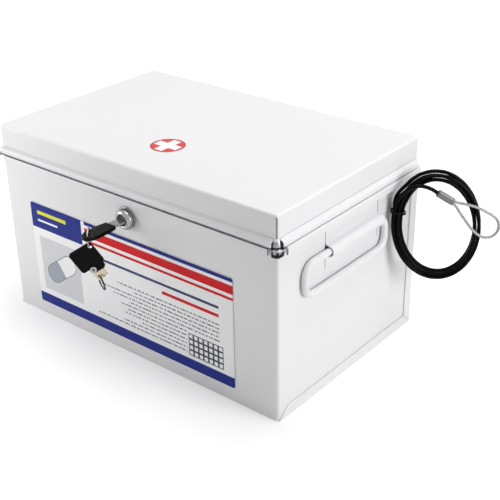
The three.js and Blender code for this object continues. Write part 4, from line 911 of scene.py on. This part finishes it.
# %% Bands of the label
LABEL_LENGTH, LABEL_LEFT, LABEL_FOOT = 237, -124.5, 13.5
NAVY, RED, YELLOW, PAPER = "#16298a", "#dc141b", "#e9e43a", "#fdfdfe"
PALE_GREY, DUSKY_NAVY = "#dcdde0", "#3b4470"
label = Print("coated_label_paper", (LABEL_LEFT, 0, LABEL_FOOT), ("X", "Z"), PAPER)
BANDS = (
    ((0, LABEL_LENGTH, 0, 10), NAVY), ((0, 66, 78, 102), NAVY), ((8, 46, 92, 95.5), YELLOW),
    ((8, 34, 85, 87), PAPER), ((70, LABEL_LENGTH, 99, 102), NAVY),
    ((70, LABEL_LENGTH, 88, 96), RED), ((70, LABEL_LENGTH, 82.5, 85), RED),
    ((8, 60, 16, 70), PALE_GREY), ((76, 222, 70, 72.5), DUSKY_NAVY), ((160, 222, 62, 65), RED))
for bar, colour in BANDS:
    label.lay(label.bar(*bar), colour)
print("bands:", len(BANDS))

# %% [markdown]
# ### Capsule
# A capsule is all the places that are nearer than its radius to a short line. A slightly
# larger one in dark grey is laid first and leaves an outline round the white one, and one half
# is then laid in blue grey.

# %% Capsule of the label
CAPSULE_MIDDLE, CAPSULE_TILT, CAPSULE_HALF_LENGTH = (34, 43), 35, 13
CAPSULE_RADIUS, CAPSULE_OUTLINE = 8.7, 9.5
CAPSULE_WHITE, CAPSULE_GREY, OUTLINE_GREY = "#fbfbfc", "#a7adb8", "#8b8e96"


def capsule(sheet, centre, tilt, half_length, radius):
    """How far along a tilted capsule a place is, and 1 inside it."""
    east = sheet.maths("SUBTRACT", sheet.across, centre[0])
    north = sheet.maths("SUBTRACT", sheet.up, centre[1])
    c, s = math.cos(math.radians(tilt)), math.sin(math.radians(tilt))
    along = sheet.maths("ADD", sheet.maths("MULTIPLY", east, c), sheet.maths("MULTIPLY", north, s))
    off = sheet.maths("SUBTRACT", sheet.maths("MULTIPLY", north, c), sheet.maths("MULTIPLY", east, s))
    past = sheet.maths("MAXIMUM", sheet.maths("SUBTRACT", sheet.maths("ABSOLUTE", along), half_length), 0)
    away = sheet.maths("SQRT", sheet.maths(
        "ADD", sheet.maths("MULTIPLY", past, past), sheet.maths("MULTIPLY", off, off)))
    return along, sheet.maths("LESS_THAN", away, radius)


for radius, colour in ((CAPSULE_OUTLINE, OUTLINE_GREY), (CAPSULE_RADIUS, CAPSULE_WHITE)):
    along, inside = capsule(label, CAPSULE_MIDDLE, CAPSULE_TILT, CAPSULE_HALF_LENGTH, radius)
    label.lay(inside, colour)
lower_half = label.maths("LESS_THAN", along, 0)
label.lay(label.maths("MULTIPLY", inside, lower_half), CAPSULE_GREY)
print("capsule, mm:", 2 * (CAPSULE_HALF_LENGTH + CAPSULE_RADIUS), "long")

# %% [markdown]
# ### Rules
# Each rule could be laid as a bar of its own. A pattern is shorter: the height is divided
# into rows, and noise gives each row its own start and its gaps.

# %% Rules of the label
INK_GREY = "#6d7076"
ROW_PITCH, RULE_HEIGHT = 3.9, 0.32  # millimetres, and the share of a row that is inked
RULES_FROM, RULES_TO, RULES_FOOT, RULES_TOP = 78, 222, 15.6, 58.5
START_SPREAD, DASH_FREQUENCY, ROW_SHIFT, GAP_SHARE = 60, 0.55, 31, 0.42
rows = label.maths("DIVIDE", label.up, ROW_PITCH)
row = label.maths("FLOOR", rows)
row_noise = add_node(label.tree, "ShaderNodeTexWhiteNoise", {"W": row}, noise_dimensions="1D")
rule_start = label.maths(
    "ADD", RULES_FROM, label.maths("MULTIPLY", row_noise.outputs["Value"], START_SPREAD))
along_row = label.maths(
    "ADD", label.maths("MULTIPLY", label.across, DASH_FREQUENCY),
    label.maths("MULTIPLY", row, ROW_SHIFT))
gaps = add_node(label.tree, "ShaderNodeTexNoise", {
    "W": along_row, "Scale": 1.0, "Detail": 0.0}, noise_dimensions="1D")
rules = label.bar(RULES_FROM, RULES_TO, RULES_FOOT, RULES_TOP)
for part in (
        label.maths("LESS_THAN", label.maths("FRACT", rows), RULE_HEIGHT),
        label.maths("GREATER_THAN", label.across, rule_start),
        label.maths("GREATER_THAN", gaps.outputs["Fac"], GAP_SHARE)):
    rules = label.maths("MULTIPLY", rules, part)
label.lay(rules, INK_GREY)
print("rows of rules:", int((RULES_TOP - RULES_FOOT) / ROW_PITCH))

# %% [markdown]
# ### Chart
# Empty boxes to tick, seven across and four up. In each box the place is measured from its own
# corner, as a share of its pitch, and ink is laid wherever that isn't well inside.

# %% Chart of the label
BOX_PITCH, BOX_LINE = 5.4, 0.17
BOXES_ACROSS, BOXES_UP = 7, 4
CHART_LEFT, CHART_FOOT, CHART_GREY = 188, 13.5, "#4b4e55"
CHART_FIELD = (186, 227, 12.5, 37)
label.lay(label.bar(*CHART_FIELD), PAPER)
chart = label.bar(
    CHART_LEFT, CHART_LEFT + BOXES_ACROSS * BOX_PITCH, CHART_FOOT, CHART_FOOT + BOXES_UP * BOX_PITCH)
in_box = [
    label.maths("FRACT", label.maths("DIVIDE", label.maths("SUBTRACT", place, start), BOX_PITCH))
    for place, start in ((label.across, CHART_LEFT), (label.up, CHART_FOOT))]
empty = label.maths(
    "MULTIPLY", *(label.between(share, BOX_LINE, 1 - BOX_LINE) for share in in_box))
label.lay(label.maths("MULTIPLY", chart, label.maths("SUBTRACT", 1, empty)), CHART_GREY)
print("boxes to tick:", BOXES_ACROSS * BOXES_UP)

# %% [markdown]
# ### Paper
# With all its inks laid, the sheet gets one surface, and the model's own thin label wears it.

# %% Label paper
# Coated paper is white and smooth with a faint even sheen, flatter than the coat round it
label_paper = label.finish(
    roughness=0.28, normal=bump_from(label.tree, scale_mm=0.8, depth=0.01))
finish_with(label_paper, "front_label")

# %% [markdown]
# ## Sign on the lid
# A round vinyl sticker, 30 mm across, carries a plain white cross on red. It could be painted
# into the lid's coat, but a thin disc of its own catches light along its edge, as the sticker
# does. The cross is printed in its material.

# %% Lid sign
SIGN_CENTRE, SIGN_RADIUS, SIGN_THICKNESS = Vector((0, -46, 182)), 15, 0.08
ARM_HALF_WIDTH, ARM_REACH, RIM_INSIDE = 4.2, 12.3, 14.3
SIGN_RED, SIGN_WHITE, RIM_RED = "#dd3a40", "#fafafa", "#8e2a30"
sign = Print("printed_sign_vinyl", SIGN_CENTRE, ("X", "Y"), SIGN_RED)
for half_east, half_north in ((ARM_REACH, ARM_HALF_WIDTH), (ARM_HALF_WIDTH, ARM_REACH)):
    sign.lay(sign.bar(-half_east, half_east, -half_north, half_north), SIGN_WHITE)
away = sign.maths("SQRT", sign.maths(
    "ADD", sign.maths("MULTIPLY", sign.across, sign.across), sign.maths("MULTIPLY", sign.up, sign.up)))
sign.lay(sign.maths("GREATER_THAN", away, RIM_INSIDE), RIM_RED)
# Vinyl is a little glossier than paper and ripples slightly, so it looks stuck on
sign_vinyl = sign.finish(roughness=0.3, normal=bump_from(sign.tree, scale_mm=1.2, depth=0.02))
disc = bmesh.new()
bmesh.ops.create_circle(disc, cap_ends=True, segments=64, radius=SIGN_RADIUS * MM)
bmesh.ops.translate(disc, verts=disc.verts, vec=SIGN_CENTRE * MM)
raised = bmesh.ops.extrude_face_region(disc, geom=disc.faces[:])
top_corners = [v for v in raised["geom"] if isinstance(v, bmesh.types.BMVert)]
bmesh.ops.translate(disc, vec=(0, 0, SIGN_THICKNESS * MM), verts=top_corners)
bmesh.ops.recalc_face_normals(disc, faces=disc.faces)
finished("lid_sign", disc, sign_vinyl, "lid")

# %% [markdown]
# ## Wire eye
# The cable's steel rope comes bare out of an aluminium sleeve, loops round and goes back in.
# Stripes of bump on one smooth wire would have a smooth outline. Real strands are wound round a core
# here, so their twist shows along the edge too, and the core's black is painted shade in the gaps between
# them. First comes the middle line of the loop, from one mouth of the sleeve to the other.

# %% Middle line of the wire eye
SLEEVE_MOUTH_SPACING = 1.5
MOUTH_INSIDE, MOUTH_OUTSIDE = -3, 2.6
GUIDE_STEPS = 16
wire_middle = [
    (21.3, 22.6), (31.4, 19.3), (41.1, 14.2), (48.3, 8.4), (50.7, 2.0), (48.9, -4.7),
    (43.2, -8.4), (36.2, -7.2), (29.7, -2.0), (23.2, 6.4), (16.9, 15.3)]
sleeve_across = Vector((-sleeve_along.y, sleeve_along.x))


def mouth(side, distance):
    """A place so far past the sleeve's end, in line with one of its two mouths."""
    point = SLEEVE_END + sleeve_along * distance + sleeve_across * side * SLEEVE_MOUTH_SPACING
    return (point.x, point.y)


loop_points = [mouth(1, MOUTH_INSIDE), mouth(1, MOUTH_OUTSIDE)] + wire_middle
loop_points += [mouth(-1, MOUTH_OUTSIDE), mouth(-1, MOUTH_INSIDE)]
guide = line_through("guide", [Vector((x, y, 0)) for x, y in loop_points], 0, steps=GUIDE_STEPS)
wire_length = guide.data.splines[0].calc_length()
bpy.context.view_layer.update()
guide_mesh = guide.to_mesh()
middle = [v.co.copy() / MM for v in guide_mesh.vertices]
guide.to_mesh_clear()
bpy.data.objects.remove(guide)
print("wire in the eye, mm:", round(wire_length / MM, 1), "points:", len(middle))

# %% [markdown]
# ### Strands
# Each strand winds round the middle line like the thread of a screw. How far it has run gives its angle,
# and the angle puts it beside, in front of or behind the line. The core runs along the line itself, and
# its black is painted shade that fills the gaps between the strands.

# %% Twisted strands
WIRE_RADIUS = 1.3
LAY_LENGTH = 8.4  # millimetres that a strand takes to go round once
STRANDS = 3  # the real rope has more, too fine to show
STRAND_RADIUS, CORE_RADIUS = 0.45, 1.0
STRAND_STEP = 0.8


def along_points(points, spacing):
    """Places at even spacing along a line: each one's point, direction and distance run."""
    result, run, wanted = [], 0.0, 0.0
    for a, b in zip(points, points[1:]):
        length = (b - a).length
        while wanted <= run + length:
            result.append((a.lerp(b, (wanted - run) / length), (b - a).normalized(), wanted))
            wanted += spacing
        run += length
    return result


strand_shape = bpy.data.curves.new("wire_eye", "CURVE")
strand_shape.dimensions = "3D"
strand_shape.bevel_depth = 1
strand_shape.bevel_resolution = 2
strand_shape.resolution_u = 2
strand_shape.use_fill_caps = True
places = along_points(middle, STRAND_STEP)
for strand in range(STRANDS + 1):
    is_core = strand == STRANDS
    away = 0 if is_core else WIRE_RADIUS - STRAND_RADIUS
    spline = strand_shape.splines.new("POLY")
    spline.points.add(len(places) - 1)
    # The core wears the black that is painted shade between the strands
    spline.material_index = int(is_core)
    for knot, (point, direction, run) in zip(spline.points, places):
        side = Vector((-direction.y, direction.x))
        angle = 2 * math.pi * (run / LAY_LENGTH + strand / STRANDS)
        flat = Vector((point.x, point.y)) + side * away * math.cos(angle)
        knot.co = (*(in_coil(flat.x, flat.y, SLEEVE_FRONT + away * math.sin(angle)) * MM), 1)
        knot.radius = (CORE_RADIUS if is_core else STRAND_RADIUS) * MM
wire_eye = bpy.data.objects.new("wire_eye", strand_shape)
bpy.context.collection.objects.link(wire_eye)
for wire in (galvanised, black_wire_and_core_shade):
    wire_eye.data.materials.append(wire)
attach(wire_eye, "box")
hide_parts("wire_loop")
print("strands:", STRANDS, "points in each:", len(places))

# %% [markdown]
# ### Sleeve and tie
# The crimped sleeve is the model's own shape with round edges. So is the black tie that
# holds the turns together. It is also squeezed along the cable, to just over half, because a
# real tie is a narrow band.

# %% Sleeve and tie
TIE_AT, TIE_NARROWED = 155, 0.55
sleeve = softened(
    "crimped_sleeve", "end_sleeve", crimped_aluminium, "box", radius=0.5,
    segments=3)
tie_middle = Matrix.Translation(beside_bundle(TIE_AT, 0, 0) * MM)
tie_along = (beside_bundle(TIE_AT + 1, 0, 0) - beside_bundle(TIE_AT - 1, 0, 0)).normalized()
band = merged_copy("coil_tie")
soften_edges(band, radius=0.2)
bmesh.ops.transform(
    band, verts=band.verts,
    matrix=tie_middle @ Matrix.Scale(TIE_NARROWED, 4, tie_along) @ tie_middle.inverted())
tie = finished("bundle_tie", band, black_plastic, "box", ["coil_tie"])

# %% [markdown]
# ### The cord's pieces
# Cable, sleeve, wire eye and tie make one cord on the real box. Here each is a piece of its own, and all
# ride on the box's body.

# %% [markdown]
# ## Grommet and stop sleeve
# A black grommet lines the cable's hole and grips the sheet between two flanges. A sleeve
# crimped on the cable inside the box keeps it from being pulled out. Two cylinders would lack
# the grommet's round lip, so both profiles are spun, like the lock's, round the cable's line.

# %% Grommet
CABLE_BORE = 1.9
THROAT_RADIUS, FLANGE_RADIUS, FLANGE_CHAMFER = 3.4, 4.8, 0.3
INNER_BACK, INNER_FRONT = -2.7, -1.2  # along the line, from the wall's outside
OUTER_BACK, OUTER_ROUND, OUTER_FRONT = 0.3, 0.8, 1.8
exit_line = Matrix.Translation((SIDE_X, CABLE_EXIT_Y, CABLE_EXIT_Z)) @ Matrix.Rotation(
    math.radians(90), 4, "Y")
grommet = [
    (CABLE_BORE, INNER_BACK), (FLANGE_RADIUS - FLANGE_CHAMFER, INNER_BACK),
    (FLANGE_RADIUS, INNER_BACK + FLANGE_CHAMFER), (FLANGE_RADIUS, INNER_FRONT),
    (THROAT_RADIUS, INNER_FRONT), (THROAT_RADIUS, OUTER_BACK), (FLANGE_RADIUS, OUTER_BACK)]
grommet += quarter_round(
    THROAT_RADIUS, OUTER_ROUND, FLANGE_RADIUS - THROAT_RADIUS, OUTER_FRONT - OUTER_ROUND, 0)
grommet += [(CABLE_BORE, OUTER_FRONT)]
finished(
    "cable_exit_grommet", spun(grommet, exit_line, 40), black_plastic, "box", ["cable_grommet"])

# %% Stop sleeve
STOP_FACE, STOP_LENGTH, STOP_RADIUS, STOP_CHAMFER = -6.7, 8, 3.4, 0.4
stop_back = STOP_FACE - STOP_LENGTH
stop = [
    (CABLE_BORE, stop_back), (STOP_RADIUS - STOP_CHAMFER, stop_back),
    (STOP_RADIUS, stop_back + STOP_CHAMFER), (STOP_RADIUS, STOP_FACE - STOP_CHAMFER),
    (STOP_RADIUS - STOP_CHAMFER, STOP_FACE), (CABLE_BORE, STOP_FACE)]
finished("cable_stop", spun(stop, exit_line, 32), galvanised, "box", ["stop_sleeve"])
